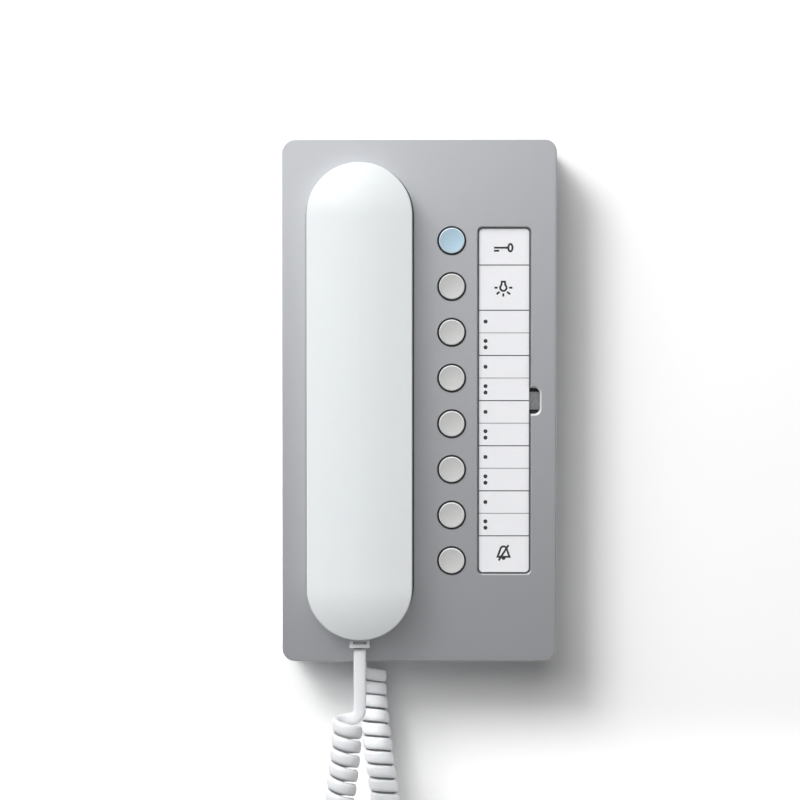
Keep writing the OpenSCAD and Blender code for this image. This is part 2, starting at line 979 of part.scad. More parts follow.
module hook_switch() {
    color("black")
        on_wall()
            translate([handset_x, hook_z, board_under - switch_h]) {
                linear_extrude(switch_h)
                    square([switch_w, switch_l], center = true);
                translate([0, 0, switch_h / 2])
                    linear_extrude(switch_h / 2 + switch_key_h)
                        square([switch_key_w, switch_key_l], center = true);
            }
}

// Six points round a wire
function wire_section(r) = [for (a = [0:60:300]) r * [cos(a), sin(a)]];

module hook_spring() {
    low = board_top + spring_wire / 2 + touch / 2;
    rise = hook_flange_low - board_top - spring_wire - touch;
    count = spring_turns * rings_per_curl;
    rings = [for (k = [0:count])
        let (a = 360 * k / rings_per_curl)
        let (out = [cos(a), sin(a), 0])
        let (middle = spring_r * out + [0, 0, low + rise * k / count])
        [for (q = wire_section(spring_wire / 2)) middle + q[0] * out + [0, 0, q[1]]]];
    color("silver")
        on_wall()
            at_depth(handset_x, hook_z, 0)
                tube(rings);
}

// Joins rings of points into one closed tube of triangles
module tube(rings) {
    sides = len(rings[0]);
    last = len(rings) - 1;
    points = [for (r = rings) each r];
    walls = [for (i = [0:last - 1], j = [0:sides - 1])
        let (a = i * sides + j)
        let (b = i * sides + (j + 1) % sides)
        each [[a, a + sides, b], [b, a + sides, b + sides]]];
    start_cap = [for (j = [1:sides - 2]) [0, j, j + 1]];
    first = last * sides;
    end_cap = [for (j = [1:sides - 2]) [first, first + j + 1, first + j]];
    polyhedron(points = points, faces = concat(walls, start_cap, end_cap));
}

// Outline of a plug's body and lever, grown by a clearance
module plug_outline(grow) {
    translate([-plug_w / 2 - grow, -plug_t / 2 - grow])
        square([plug_w + 2 * grow, plug_t + 2 * grow]);
    translate([-lever_w / 2 - grow, -plug_t / 2 - lever_gap - lever_t - grow])
        square([lever_w + 2 * grow, plug_t / 2]);
}

// A plug seen from above: its rear end at y = 0, its tip upwards, its lever towards the wall
module plug() {
    lever_low = -plug_t / 2 - lever_gap - lever_t;
    difference() {
        union() {
            translate([-plug_w / 2, 0, -plug_t / 2])
                cube([plug_w, plug_l, plug_t]);
            translate([-lever_w / 2, cut, lever_low])
                cube([lever_w, plug_l - cut, lever_t]);
            translate([-lever_w / 2, plug_l - 2 * cut, lever_low])
                cube([lever_w, 2 * cut, lever_gap + 2 * lever_t]);
        }
        translate([0, grip_slot_z, plug_t / 2])
            cube([grip_slot_w, grip_slot_t, 2 * grip_slot_deep], center = true);
        for (i = [0:contact_count - 1])
            translate([(i - (contact_count - 1) / 2) * contact_pitch, plug_l, plug_t / 2])
                cube([contact_w, 2 * contact_l, 2 * contact_deep], center = true);
    }
}

// A jack with its mouth at y = 0 and the plug's channel going up into it
module jack(channel) {
    difference() {
        translate([-jack_w / 2, 0, -jack_low])
            cube([jack_w, jack_l, jack_low + jack_high]);
        translate([0, channel, 0])
            rotate([90, 0, 0])
                linear_extrude(channel + cut)
                    plug_outline(fit);
    }
}

module base_plug() {
    color("gainsboro")
        on_wall()
            translate([handset_x, base_plug_z, base_plug_d])
                plug();
}

module base_jack() {
    color("dimgray")
        on_wall()
            translate([handset_x, base_jack_z, base_plug_d])
                jack(base_plug_z + plug_l + fit - base_jack_z);
}

module handset_plug() {
    color("gainsboro")
        on_wall()
            translate([handset_x, handset_plug_z, handset_plug_d])
                plug();
}

module handset_jack() {
    color("dimgray")
        on_wall()
            translate([handset_x, handset_jack_z, handset_plug_d])
                jack(handset_plug_z + plug_l + fit - handset_jack_z);
}

// Half of the handset's cross section, pulled in by an inset for its hollow
module half_section(inset, fillet, low) {
    r = handset_w / 2 - inset;
    back_r = (pow(handset_w / 2, 2) + crown_h * crown_h) / (2 * crown_h) - inset;
    back_middle = handset_top - inset - back_r;
    fillet_d = back_middle + sqrt(pow(back_r - fillet, 2) - pow(r - fillet, 2));
    tangent_r = back_r * (r - fillet) / (back_r - fillet);
    translate([0, low])
        square([r, fillet_d - low]);
    translate([r - fillet, fillet_d])
        circle(fillet);
    intersection() {
        translate([0, back_middle])
            circle(back_r);
        translate([0, low])
            square([tangent_r, handset_top - low]);
    }
}

// Crowned bar with the same section turned round at both ends
module handset_form(inset, fillet, low) {
    translate([handset_x, 0, 0]) {
        for (s = [0, 180])
            rotate(s)
                translate([0, end_z, 0])
                    rotate_extrude(angle = 180)
                        half_section(inset, fillet, low);
        rotate([90, 0, 0])
            linear_extrude(2 * end_z, center = true) {
                half_section(inset, fillet, low);
                mirror([1, 0])
                    half_section(inset, fillet, low);
            }
    }
}

module handset_shell() {
    color("white")
        on_wall()
            difference() {
                union() {
                    difference() {
                        handset_form(0, shoulder_r, rim_d);
                        handset_form(shell_t, shell_in_fillet, rim_d - cut);
                    }
                    for (s = [-1, 1])
                        at_depth(handset_x, s * handset_screw_z, inner_back)
                            cylinder(r = handset_boss_r, h = handset_top - shell_t / 2 - inner_back);
                }
                for (s = [-1, 1])
                    at_depth(handset_x, s * handset_screw_z, inner_back - cut)
                        cylinder(r = handset_screw_r, h = handset_screw_l + cut);
                translate([handset_x, -end_z, handset_plug_d])
                    rotate([90, 0, 0])
                        linear_extrude(handset_w)
                            plug_outline(fit);
            }
}

// Round pad of the inner shell with a chamfered face
module pad_form() {
    rotate_extrude()
        polygon([
            [0, pad_face],
            [pad_r - pad_chamfer, pad_face],
            [pad_r, pad_face + pad_chamfer],
            [pad_r, inner_back],
            [0, inner_back]
        ]);
}

module handset_inner_shell() {
    inset = shell_t + fit;
    color("white")
        on_wall()
            difference() {
                union() {
                    at_depth(handset_x, 0, inner_face)
                        linear_extrude(inner_t)
                            stadium(handset_w - 2 * inset, handset_l - 2 * inset);
                    for (s = [-1, 1])
                        at_depth(handset_x, s * end_z, 0)
                            pad_form();
                    weight_ribs();
                }
                at_depth(handset_x, end_z, pad_inside)
                    cylinder(r = capsule_bore_r, h = pad_h + inner_t);
                at_depth(handset_x, -end_z, pad_inside)
                    cylinder(r = mic_holder_r + fit, h = pad_h + inner_t);
                at_depth(handset_x, end_z, pad_face - cut)
                    hole_rose(ear_hole_r, ear_hole_step, 2, pad_floor_t + 2 * cut);
                at_depth(handset_x, -end_z, pad_face - cut)
                    hole_rose(ear_hole_r, mouth_hole_step, 1, pad_floor_t + 2 * cut);
                for (s = [-1, 1])
                    at_depth(handset_x, s * handset_screw_z, inner_face - cut) {
                        cylinder(r = handset_hole_r, h = inner_t + 2 * cut);
                        cylinder(r = handset_head_r + fit, h = cut + inner_t / 2);
                    }
            }
}

// Ribs at the corners of the steel weight
module weight_ribs() {
    gap = weight_rib_t / 2 + fit;
    for (s = [-1, 1])
        at_depth(handset_x, s * (weight_l / 2 + gap), inner_back - inner_t / 2)
            linear_extrude(inner_t / 2 + weight_rib_h)
                square([weight_w, weight_rib_t], center = true);
}

module earpiece_seal() {
    color("black")
        on_wall()
            at_depth(handset_x, end_z, pad_inside)
                ring(capsule_r, capsule_r - seal_w, seal_t);
}

module earpiece_capsule() {
    low = pad_inside + seal_t;
    step = capsule_h / 2;
    color("darkgray")
        on_wall()
            at_depth(handset_x, end_z, low)
                difference() {
                    rotate_extrude()
                        polygon([
                            [0, 0],
                            [capsule_r, 0],
                            [capsule_r, step],
                            [capsule_r - seal_w, step + cut],
                            [capsule_r - seal_w, capsule_h],
                            [0, capsule_h]
                        ]);
                    translate([0, 0, -cut])
                        cylinder(r = capsule_r - seal_w, h = 2 * cut);
                }
}

module microphone_holder() {
    color("dimgray")
        on_wall()
            at_depth(handset_x, -end_z, pad_inside)
                difference() {
                    cylinder(r = mic_holder_r, h = mic_holder_h);
                    translate([0, 0, mic_floor_t])
                        cylinder(r = mic_r + touch, h = mic_holder_h);
                    translate([0, 0, -cut])
                        cylinder(r = mic_r / 2, h = mic_holder_h);
                }
}

module microphone_capsule() {
    color("silver")
        on_wall()
            at_depth(handset_x, -end_z, pad_inside + mic_floor_t)
                difference() {
                    cylinder(r = mic_r, h = mic_h);
                    translate([0, 0, -cut])
                        cylinder(r = ear_hole_r, h = 2 * cut);
                }
}

module handset_weight() {
    color("gray")
        on_wall()
            at_depth(handset_x, 0, inner_back)
                linear_extrude(weight_t)
                    round_rect(weight_w, weight_l, weight_r);
}

module handset_screws() {
    head_low = inner_face + inner_t / 2;
    color("lightgray")
        on_wall()
            for (s = [-1, 1])
                at_depth(handset_x, s * handset_screw_z, head_low)
                    screw(handset_head_r, inner_t / 2, handset_screw_r - touch, handset_screw_l);
}

// The route's points: each end's lead runs at the side of its curl and meets its plug
handset_end = [handset_x - lead_side, -handset_plug_d - curl_r, handset_plug_z];
base_end = [handset_x + lead_side, curl_r - base_plug_d, base_plug_z];
route_end = len(sag) - 1;
function base_share(i) = max(0, min(1, (i - lead_points) / (route_end - 2 * lead_points)));
route = [for (i = [0:route_end])
    (1 - base_share(i)) * handset_end + base_share(i) * base_end + sag[i]];

// Smooth curve through the route's points, point by point with its running length
function between(a, b, c, d, t) =
    0.5 * (2 * b + (c - a) * t + (2 * a - 5 * b + 4 * c - d) * t * t
        + (3 * b - a - 3 * c + d) * t * t * t);
function route_at(i) = route[max(0, min(route_end, i))];
smooth = concat(
    [for (i = [0:route_end - 1], k = [0:route_steps - 1])
        between(route_at(i - 1), route_at(i), route_at(i + 1), route_at(i + 2), k / route_steps)],
    [route[route_end]]);
smooth_end = len(smooth) - 1;
run = [for (i = 0, s = 0; i <= smooth_end;
    s = s + (i < smooth_end ? norm(smooth[i + 1] - smooth[i]) : 0), i = i + 1) s];
route_l = run[smooth_end];
tables = [for (axis = [0:2]) [for (i = [0:smooth_end]) [run[i], smooth[i][axis]]]];
function along(s) = [for (axis = [0:2]) lookup(s, tables[axis])];
function unit(v) = v / norm(v);
look = 4;
function heading(s) = unit(along(min(s + look, route_l)) - along(max(s - look, 0)));

// The curls open in a bend until they keep their pitch on its inner side
bend_look = 14;
curl_out = curl_r + cord_t / 2;
function bend(s) = norm(heading(min(s + bend_look, route_l)) - heading(max(s - bend_look, 0)))
    / (2 * bend_look);
function opening(s) = 1 / (1 - bend(s) * curl_out);
lead_turn = lead_bend_r * cos(curl_slope)
    + (lead_side - lead_bend_r * (1 - sin(curl_slope))) * tan(curl_slope);
coil_start = handset_lead + lead_turn;
coil_end = route_l - base_lead - lead_turn;
coil_steps = 160;
coil_step = (coil_end - coil_start) / coil_steps;
wound = [for (k = 0, f = 0; k <= coil_steps;
    f = f + coil_step / opening(coil_start + (k + 0.5) * coil_step), k = k + 1)
    [f, coil_start + k * coil_step]];
coil_turn = 360 * curls + base_angle - handset_angle;
coil_rings = round(coil_turn * rings_per_curl / 360);
function coil_place(k) = lookup(wound[coil_steps][0] * k / coil_rings, wound);

// The cord's rings as curl angle, sideways offset and place along the route
bend_turn = 90 - curl_slope;
function bend_side(k) = lead_bend_r * (1 - cos(bend_turn * k / bend_rings)) - lead_side;
function bend_reach(k) = lead_bend_r * sin(bend_turn * k / bend_rings);
cord_path = concat(
    [for (k = [0:lead_rings]) [handset_angle, -lead_side, handset_lead * k / lead_rings]],
    [for (k = [1:bend_rings]) [handset_angle, bend_side(k), handset_lead + bend_reach(k)]],
    [for (k = [0:coil_rings]) [handset_angle + coil_turn * k / coil_rings, 0, coil_place(k)]],
    [for (k = [bend_rings:-1:1])
        [handset_angle + coil_turn, -bend_side(k), route_l - base_lead - bend_reach(k)]],
    [for (k = [lead_rings:-1:0])
        [handset_angle + coil_turn, lead_side, route_l - base_lead * k / lead_rings]]);

// Outward direction of a curl, and the cord's middle there
function curl_frame(s) =
    let (t = heading(s))
    let (u = unit(loop_normal - (loop_normal * t) * t))
    [u, cross(u, t)];
function curl_outward(q) =
    let (f = curl_frame(q[2]))
    cos(q[0]) * f[0] + sin(q[0]) * f[1];
function cord_middle(q) =
    let (f = curl_frame(q[2]))
    along(q[2]) + curl_r * curl_outward(q) + q[1] * (cos(q[0]) * f[1] - sin(q[0]) * f[0]);
cord_line = [for (q = cord_path) cord_middle(q)];
cord_end = len(cord_line) - 1;

// Flat six-sided section and the rings that carry it along the cord
flat_section = [
    [cord_w / 2, 0], [cord_w / 2 - cord_t / 3, cord_t / 2], [cord_t / 3 - cord_w / 2, cord_t / 2],
    [-cord_w / 2, 0], [cord_t / 3 - cord_w / 2, -cord_t / 2], [cord_w / 2 - cord_t / 3, -cord_t / 2]
];
function cord_ring(i) =
    let (way = unit(cord_line[min(i + 1, cord_end)] - cord_line[max(i - 1, 0)]))
    let (across = unit(cross(way, curl_outward(cord_path[i]))))
    let (out = cross(across, way))
    [for (p = flat_section) cord_line[i] + p[0] * across + p[1] * out];
cord_rings = [for (i = [0:cord_end]) cord_ring(i)];

// Least gap between each ring's corners and the edges of the next curl, and the cord's length
function edge_gap(p, a, b) =
    let (t = max(0, min(1, (p - a) * (b - a) / ((b - a) * (b - a)))))
    norm(p - a - t * (b - a));
function ring_gap(a, b) = min([for (p = cord_rings[a], k = [0:len(flat_section) - 1])
    edge_gap(p, cord_rings[b][k], cord_rings[b + 1][k])]);
next_curl = [rings_per_curl - 2:rings_per_curl + 1];
curl_gap = min([for (i = [0:cord_end - rings_per_curl - 2], n = next_curl) ring_gap(i, i + n)]);
far_gap = min([for (i = [0:4:cord_end], k = [i + 2 * rings_per_curl:4:cord_end])
    norm(cord_line[i] - cord_line[k])]) - cord_w;
cord_l = route_sum(cord_line);
function route_sum(line) = [for (i = [1:len(line) - 1]) norm(line[i] - line[i - 1])]
    * [for (i = [1:len(line) - 1]) 1];
echo(least_gap_to_the_next_curl = curl_gap, least_gap_to_other_stretches = far_gap);
echo(cord_length = cord_l, route_length = route_l);

module handset_cord() {
    color("whitesmoke")
        tube(cord_rings);
}

base_plate();
front_housing();
circuit_board();
board_screws();
key_mat();
terminal_block();
terminal_screws();
call_loudspeaker();
loudspeaker_gasket();
hook_switch();
hook_spring();
hook_plunger();
label_strip();
label_cover();
door_button();
light_button();
call_button_1();
call_button_2();
call_button_3();
call_button_4();
call_button_5();
mute_button();
base_jack();
base_plug();
handset_cord();
handset_plug();
handset_jack();
handset_shell();
handset_inner_shell();
earpiece_capsule();
earpiece_seal();
microphone_capsule();
microphone_holder();
handset_weight();
handset_screws();
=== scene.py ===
"""Looks of a wall intercom phone: finishes, printed label, curly cord, wall, light and camera.

Every length is in metres in the part's own frame, and in millimetres only where that is said: the
wall is the plane y = 0, the front looks along -y and z is up.
"""

import logging
import math
from bisect import bisect_right
from collections.abc import Iterable, Sequence
from dataclasses import dataclass
from enum import Enum

import bmesh
import bpy
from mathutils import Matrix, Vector


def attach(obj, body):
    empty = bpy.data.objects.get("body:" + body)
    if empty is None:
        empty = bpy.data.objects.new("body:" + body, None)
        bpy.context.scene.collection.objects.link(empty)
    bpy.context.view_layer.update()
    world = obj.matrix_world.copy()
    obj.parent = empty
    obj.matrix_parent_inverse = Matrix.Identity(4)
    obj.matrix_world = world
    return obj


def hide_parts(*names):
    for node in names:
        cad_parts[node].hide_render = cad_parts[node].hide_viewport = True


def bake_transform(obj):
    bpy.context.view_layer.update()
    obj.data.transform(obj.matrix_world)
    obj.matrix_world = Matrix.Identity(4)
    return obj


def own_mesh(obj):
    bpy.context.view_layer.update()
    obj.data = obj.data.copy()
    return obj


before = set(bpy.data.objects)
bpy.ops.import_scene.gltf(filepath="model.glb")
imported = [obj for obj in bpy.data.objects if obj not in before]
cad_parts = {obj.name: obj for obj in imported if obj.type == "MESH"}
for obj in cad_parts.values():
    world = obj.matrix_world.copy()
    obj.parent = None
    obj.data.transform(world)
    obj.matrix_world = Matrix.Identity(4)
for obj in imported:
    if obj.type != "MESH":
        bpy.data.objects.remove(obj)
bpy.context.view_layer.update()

MM = 0.001
LOG = logging.getLogger("intercom_phone")

Colour = tuple[float, float, float, float]
Flat = tuple[float, float]
Place = tuple[float, float, float]
Sockets = bpy.types.bpy_prop_collection

# White laid on edges and rims: partly real wear, partly painted highlight.
POLISH_AND_HIGHLIGHT: Colour = (1.0, 1.0, 1.0, 1.0)
# Near-black laid in gaps, inner corners and the pry notch: painted shade, with a little dust in the
# gaps.
SHADE_AND_DUST: Colour = (0.02, 0.02, 0.02, 1.0)


def to_linear(value: float) -> float:
    """Returns one sRGB channel, from 0 to 255, in linear light."""
    share = value / 255
    return share / 12.92 if share <= 0.04045 else ((share + 0.055) / 1.055) ** 2.4


class Tone(Enum):
    """Colours of the phone's surfaces as sRGB values from 0 to 255."""

    SILVER = (217, 219, 223)
    WHITE = (231, 235, 236)
    CORD_WHITE = (234, 236, 238)
    KEY_GREY = (204, 204, 203)
    KEY_BLUE = (178, 206, 222)
    PAPER = (240, 240, 243)
    INK = (30, 30, 33)
    PALE_INK = (128, 129, 132)
    CLEAR = (250, 252, 253)
    PLUG_CLEAR = (238, 240, 242)
    DARK_PLASTIC = (74, 76, 79)
    BOARD_GREEN = (38, 98, 66)
    COPPER_GREEN = (86, 142, 92)
    TERMINAL_GREEN = (58, 128, 76)
    STEEL = (196, 196, 194)
    RUBBER = (38, 39, 41)
    SPEAKER = (44, 45, 47)

    @property
    def linear(self) -> Colour:
        """Returns the colour in linear light with full cover."""
        red, green, blue = (to_linear(v) for v in self.value)
        return red, green, blue, 1.0


class Effect(Enum):
    """Shader effects that several finishes share."""

    GRAIN = "moulded_grain"
    # Recess shade is painted shade in gaps and inner corners, with some dust.
    RECESS = "recess_shade"
    WEAR = "edge_wear"
    # Edge wear is partly wear and partly painted highlight on edges that catch the light.
    FIBRE = "paper_fibre"
    BRUSHED = "brushed_lines"
    TRACES = "circuit_traces"
    # The grip marks are painted shade in the pry notch, with a painted highlight on its rim.
    GRIP = "grip_marks"
    # The rounded rim is a painted highlight.
    RIM = "rounded_rim"


class Wiring:
    """Adds nodes to one shader tree and links them."""

    NOISE_MEAN = 0.5

    def __init__(self, tree: bpy.types.NodeTree) -> None:
        """Keeps the tree of a material, world or group that the nodes go into."""
        self.tree = tree

    def node(self, kind: str, **settings: object) -> bpy.types.Node:
        """Adds one node.

        Args:
            kind: Blender's name for the node type.
            settings: Properties to set on the node.

        Returns:
            The new node.
        """
        made = self.tree.nodes.new(kind)
        for name, value in settings.items():
            setattr(made, name, value)
        return made

    def feed(self, target: bpy.types.NodeSocket, source: object) -> None:
        """Links a socket to the target, or sets the target's own value.

        Args:
            target: The input socket.
            source: An output socket, or a plain value.
        """
        if isinstance(source, bpy.types.NodeSocket):
            self.tree.links.new(source, target)
        else:
            target.default_value = source

    def place(self) -> bpy.types.NodeSocket:
        """Returns the surface's place in the piece's own frame."""
        return self.node("ShaderNodeTexCoord").outputs["Object"]

    def mapped(self, **values: Place) -> bpy.types.NodeSocket:
        """Adds a mapping of the surface's place.

        Args:
            values: The mapping's Scale or Rotation.

        Returns:
            The place, stretched or turned.
        """
        made = self.node("ShaderNodeMapping")
        self.feed(made.inputs["Vector"], self.place())
        for name, value in values.items():
            self.feed(made.inputs[name], value)
        return made.outputs["Vector"]

    def split(self, vector: bpy.types.NodeSocket) -> Sockets:
        """Adds a node that takes a vector apart.

        Args:
            vector: The vector's socket.

        Returns:
            Sockets named X, Y and Z.
        """
        made = self.node("ShaderNodeSeparateXYZ")
        self.feed(made.inputs[0], vector)
        return made.outputs

    def maths(self, operation: str, first: object, second: object = 0.0) -> bpy.types.NodeSocket:
        """Adds a Math node.

        Args:
            operation: The node's operation.
            first: First input, a socket or number.
            second: Second input, a socket or number.

        Returns:
            The result socket.
        """
        made = self.node("ShaderNodeMath", operation=operation)
        self.feed(made.inputs[0], first)
        self.feed(made.inputs[1], second)
        return made.outputs[0]

    def product(self, first: object, *others: object) -> bpy.types.NodeSocket:
        """Multiplies sockets and numbers.

        Args:
            first: First factor.
            others: The other factors.

        Returns:
            The result socket.
        """
        made = first
        for factor in others:
            made = self.maths("MULTIPLY", made, factor)
        return made

    def mix(
        self, share: object, first: object, second: object, mode: str = "MIX"
    ) -> bpy.types.NodeSocket:
        """Adds a colour Mix node.

        Args:
            share: Factor, a socket or number.
            first: Colour at factor 0.
            second: Colour at factor 1.
            mode: The node's blend type.

        Returns:
            The result colour.
        """
        made = self.node("ShaderNodeMix", data_type="RGBA", blend_type=mode)
        self.feed(made.inputs[0], share)
        self.feed(made.inputs[6], first)
        self.feed(made.inputs[7], second)
        return made.outputs[2]

    def noise(self, place: object, scale: object, detail: float = 3.0) -> bpy.types.NodeSocket:
        """Adds a noise texture.

        Args:
            place: Coordinates to read it at.
            scale: Cells per metre, a socket or number.
            detail: Octaves of finer noise.

        Returns:
            Its value, about 0.5 on average.
        """
        made = self.node("ShaderNodeTexNoise")
        for name, value in (("Vector", place), ("Scale", scale), ("Detail", detail)):
            self.feed(made.inputs[name], value)
        return made.outputs["Fac"]

    def swing(self, noise: bpy.types.NodeSocket) -> bpy.types.NodeSocket:
        """Returns how far a noise lies from its mean."""
        return self.maths("SUBTRACT", noise, self.NOISE_MEAN)

    def step(
        self, value: object, low: float, high: float, first: object = 0.0, last: object = 1.0
    ) -> bpy.types.NodeSocket:
        """Adds a smooth step.

        Args:
            value: What it follows.
            low: Value at which the step starts.
            high: Value at which it ends.
            first: Result before the step.
            last: Result after it.

        Returns:
            The result socket.
        """
        made = self.node("ShaderNodeMapRange", interpolation_type="SMOOTHSTEP")
        limits = (("From Min", low), ("From Max", high), ("To Min", first), ("To Max", last))
        for name, given in (("Value", value),) + limits:
            self.feed(made.inputs[name], given)
        return made.outputs["Result"]

    def group(self, tree: bpy.types.NodeTree, **values: object) -> Sockets:
        """Places a node group.

        Args:
            tree: The group.
            values: Values or sockets for its inputs, by name.

        Returns:
            The group's outputs by name.
        """
        made = self.node("ShaderNodeGroup")
        made.node_tree = tree
        for name, value in values.items():
            self.feed(made.inputs[name], value)
        return made.outputs

    def relief(self, shader: bpy.types.Node, height: object, distance: float) -> None:
        """Gives a shader a fine relief.

        Args:
            shader: The Principled shader.
            height: The relief's height from 0 to 1.
            distance: What a height of 1 stands for.
        """
        bump = self.node("ShaderNodeBump")
        self.feed(bump.inputs["Distance"], distance)
        self.feed(bump.inputs["Height"], height)
        self.feed(shader.inputs["Normal"], bump.outputs["Normal"])


class EffectLibrary:
    """The node groups that the finishes share, each built once."""

    BROAD_PATCH = 120.0
    GLOSS_PATCH = 9.0
    OPEN_SHARE = 0.7
    HIDDEN_SHARE = 0.1
    EDGE_CELLS = 900.0
    EDGE_GAIN = 8.0
    FIBRE_STRETCHES = ((1.0, 1.0, 0.18), (0.18, 1.0, 1.0))
    LINE_STRETCH = (0.06, 1.0, 1.0)
    TRACE_TURN = (math.pi / 2, 0.0, 0.0)
    TRACE_OFFSET = 0.37
    TRACE_SQUASH = 1.6
    TRACE_WIDTH = 0.04
    RIM_FROM_FRONT = (-0.975, -0.88)
    RIM_FROM_SIDE = (-0.2, -0.5)
    NOTCH_CELLS = 700.0

    def __init__(self) -> None:
        """Builds every group."""
        self.groups = {
            Effect.GRAIN: self._grain(),
            Effect.RECESS: self._recess(),
            Effect.WEAR: self._wear(),
            Effect.FIBRE: self._fibre(),
            Effect.BRUSHED: self._brushed(),
            Effect.TRACES: self._traces(),
            Effect.GRIP: self._grip(),
            Effect.RIM: self._rim(),
        }

    def __getitem__(self, effect: Effect) -> bpy.types.NodeTree:
        """Returns the group of one effect."""
        return self.groups[effect]

    @staticmethod
    def _start(
        effect: Effect, inputs: dict[str, float | Colour], outputs: tuple[str, ...]
    ) -> tuple[Wiring, Sockets, Sockets]:
        """Makes an empty group with its sockets.

        Args:
            effect: The effect it is for.
            inputs: Input names with their default values.
            outputs: Output names.

        Returns:
            The wiring, the sockets that give the group's inputs and those that take its outputs.
        """
        tree = bpy.data.node_groups.new(effect.value, "ShaderNodeTree")
        for name, value in inputs.items():
            kind = "NodeSocketFloat" if isinstance(value, float) else "NodeSocketColor"
            socket = tree.interface.new_socket(name, in_out="INPUT", socket_type=kind)
            socket.default_value = value
        for name in outputs:
            kind = "NodeSocketColor" if name == "Colour" else "NodeSocketFloat"
            tree.interface.new_socket(name, in_out="OUTPUT", socket_type=kind)
        wires = Wiring(tree)
        return wires, wires.node("NodeGroupInput").outputs, wires.node("NodeGroupOutput").inputs

    def _grain(self) -> bpy.types.NodeTree:
        """Makes moulded grain.

        Returns:
            A group that gives an uneven tone, a fine height and a drifting gloss.
        """
        wires, given, out = self._start(
            Effect.GRAIN,
            {"Colour": (0.8, 0.8, 0.8, 1.0), "Scale": 4000.0, "Spread": 0.02},
            ("Colour", "Height", "Gloss"),
        )
        place, scale = wires.place(), given["Scale"]
        broad = wires.noise(place, wires.maths("DIVIDE", scale, self.BROAD_PATCH), detail=2.0)
        drift = wires.noise(place, wires.maths("DIVIDE", scale, self.GLOSS_PATCH))
        tone = wires.maths("ADD", wires.product(wires.swing(broad), 2.0, given["Spread"]), 1.0)
        wires.feed(out["Colour"], wires.mix(1.0, given["Colour"], tone, "MULTIPLY"))
        wires.feed(out["Height"], wires.noise(place, scale, detail=4.0))
        wires.feed(out["Gloss"], wires.swing(drift))
        return wires.tree

    def _recess(self) -> bpy.types.NodeTree:
        """Makes painted shade in gaps and inner corners, with some dust that gathers there.

        Returns:
            A group that gives their mask.
        """
        wires, given, out = self._start(Effect.RECESS, {"Reach": 0.003, "Depth": 0.2}, ("Mask",))
        shade = wires.node("ShaderNodeAmbientOcclusion", samples=6)
        wires.feed(shade.inputs["Distance"], given["Reach"])
        hidden = wires.step(shade.outputs["AO"], self.OPEN_SHARE, self.HIDDEN_SHARE)
        wires.feed(out["Mask"], wires.product(hidden, given["Depth"]))
        return wires.tree

    def _wear(self) -> bpy.types.NodeTree:
        """Makes the lighter outer edges, partly wear where handling polishes them and partly painted
        highlight where they catch the light.

        Returns:
            A group that gives its broken mask.
        """
        wires, given, out = self._start(Effect.WEAR, {"Radius": 0.0004, "Amount": 0.3}, ("Mask",))
        soft = wires.node("ShaderNodeBevel", samples=4)
        wires.feed(soft.inputs["Radius"], given["Radius"])
        meet = wires.node("ShaderNodeVectorMath", operation="DOT_PRODUCT")
        wires.feed(meet.inputs[0], soft.outputs["Normal"])
        wires.feed(meet.inputs[1], wires.node("ShaderNodeNewGeometry").outputs["Normal"])
        turned = wires.maths("SUBTRACT", 1.0, meet.outputs["Value"])
        broken = wires.noise(wires.place(), self.EDGE_CELLS)
        edge = wires.maths("MINIMUM", wires.product(turned, self.EDGE_GAIN, broken), 1.0)
        wires.feed(out["Mask"], wires.product(edge, given["Amount"]))
        return wires.tree

    def _fibre(self) -> bpy.types.NodeTree:
        """Makes the short crossing fibres of paper.

        Returns:
            A group that gives their height and a faint tint.
        """
        wires, given, out = self._start(Effect.FIBRE, {"Scale": 2500.0}, ("Height", "Tint"))
        runs = [
            wires.noise(wires.mapped(Scale=stretch), given["Scale"], detail=4.0)
            for stretch in self.FIBRE_STRETCHES
        ]
        both = wires.product(wires.maths("ADD", *runs), 1 / len(runs))
        wires.feed(out["Height"], both)
        wires.feed(out["Tint"], wires.swing(both))
        return wires.tree

    def _brushed(self) -> bpy.types.NodeTree:
        """Makes the fine parallel lines of turned or rolled steel.

        Returns:
            A group that gives their height and gloss.
        """
        wires, given, out = self._start(Effect.BRUSHED, {"Scale": 5000.0}, ("Height", "Gloss"))
        lines = wires.noise(wires.mapped(Scale=self.LINE_STRETCH), given["Scale"], detail=2.0)
        wires.feed(out["Height"], lines)
        wires.feed(out["Gloss"], wires.swing(lines))
        return wires.tree

    def _traces(self) -> bpy.types.NodeTree:
        """Makes the copper runs under a circuit board's lacquer.

        Returns:
            A group that gives their mask.
        """
        wires, given, out = self._start(Effect.TRACES, {"Scale": 160.0}, ("Mask",))
        runs = wires.node("ShaderNodeTexBrick", offset=self.TRACE_OFFSET, squash=self.TRACE_SQUASH)
        wires.feed(runs.inputs["Vector"], wires.mapped(Rotation=self.TRACE_TURN))
        wires.feed(runs.inputs["Scale"], given["Scale"])
        wires.feed(runs.inputs["Mortar Size"], self.TRACE_WIDTH)
        wires.feed(out["Mask"], runs.outputs["Fac"])
        return wires.tree

    def _rim(self) -> bpy.types.NodeTree:
        """Makes a painted highlight on rounded rims, where the front turns to the side.

        Returns:
            A group that gives its mask.
        """
        wires, given, out = self._start(Effect.RIM, {"Amount": 0.5}, ("Mask",))
        facing = wires.split(wires.node("ShaderNodeTexCoord").outputs["Normal"])["Y"]
        off_front = wires.step(facing, *self.RIM_FROM_FRONT)
        off_side = wires.step(facing, *self.RIM_FROM_SIDE)
        wires.feed(out["Mask"], wires.product(off_front, off_side, given["Amount"]))
        return wires.tree

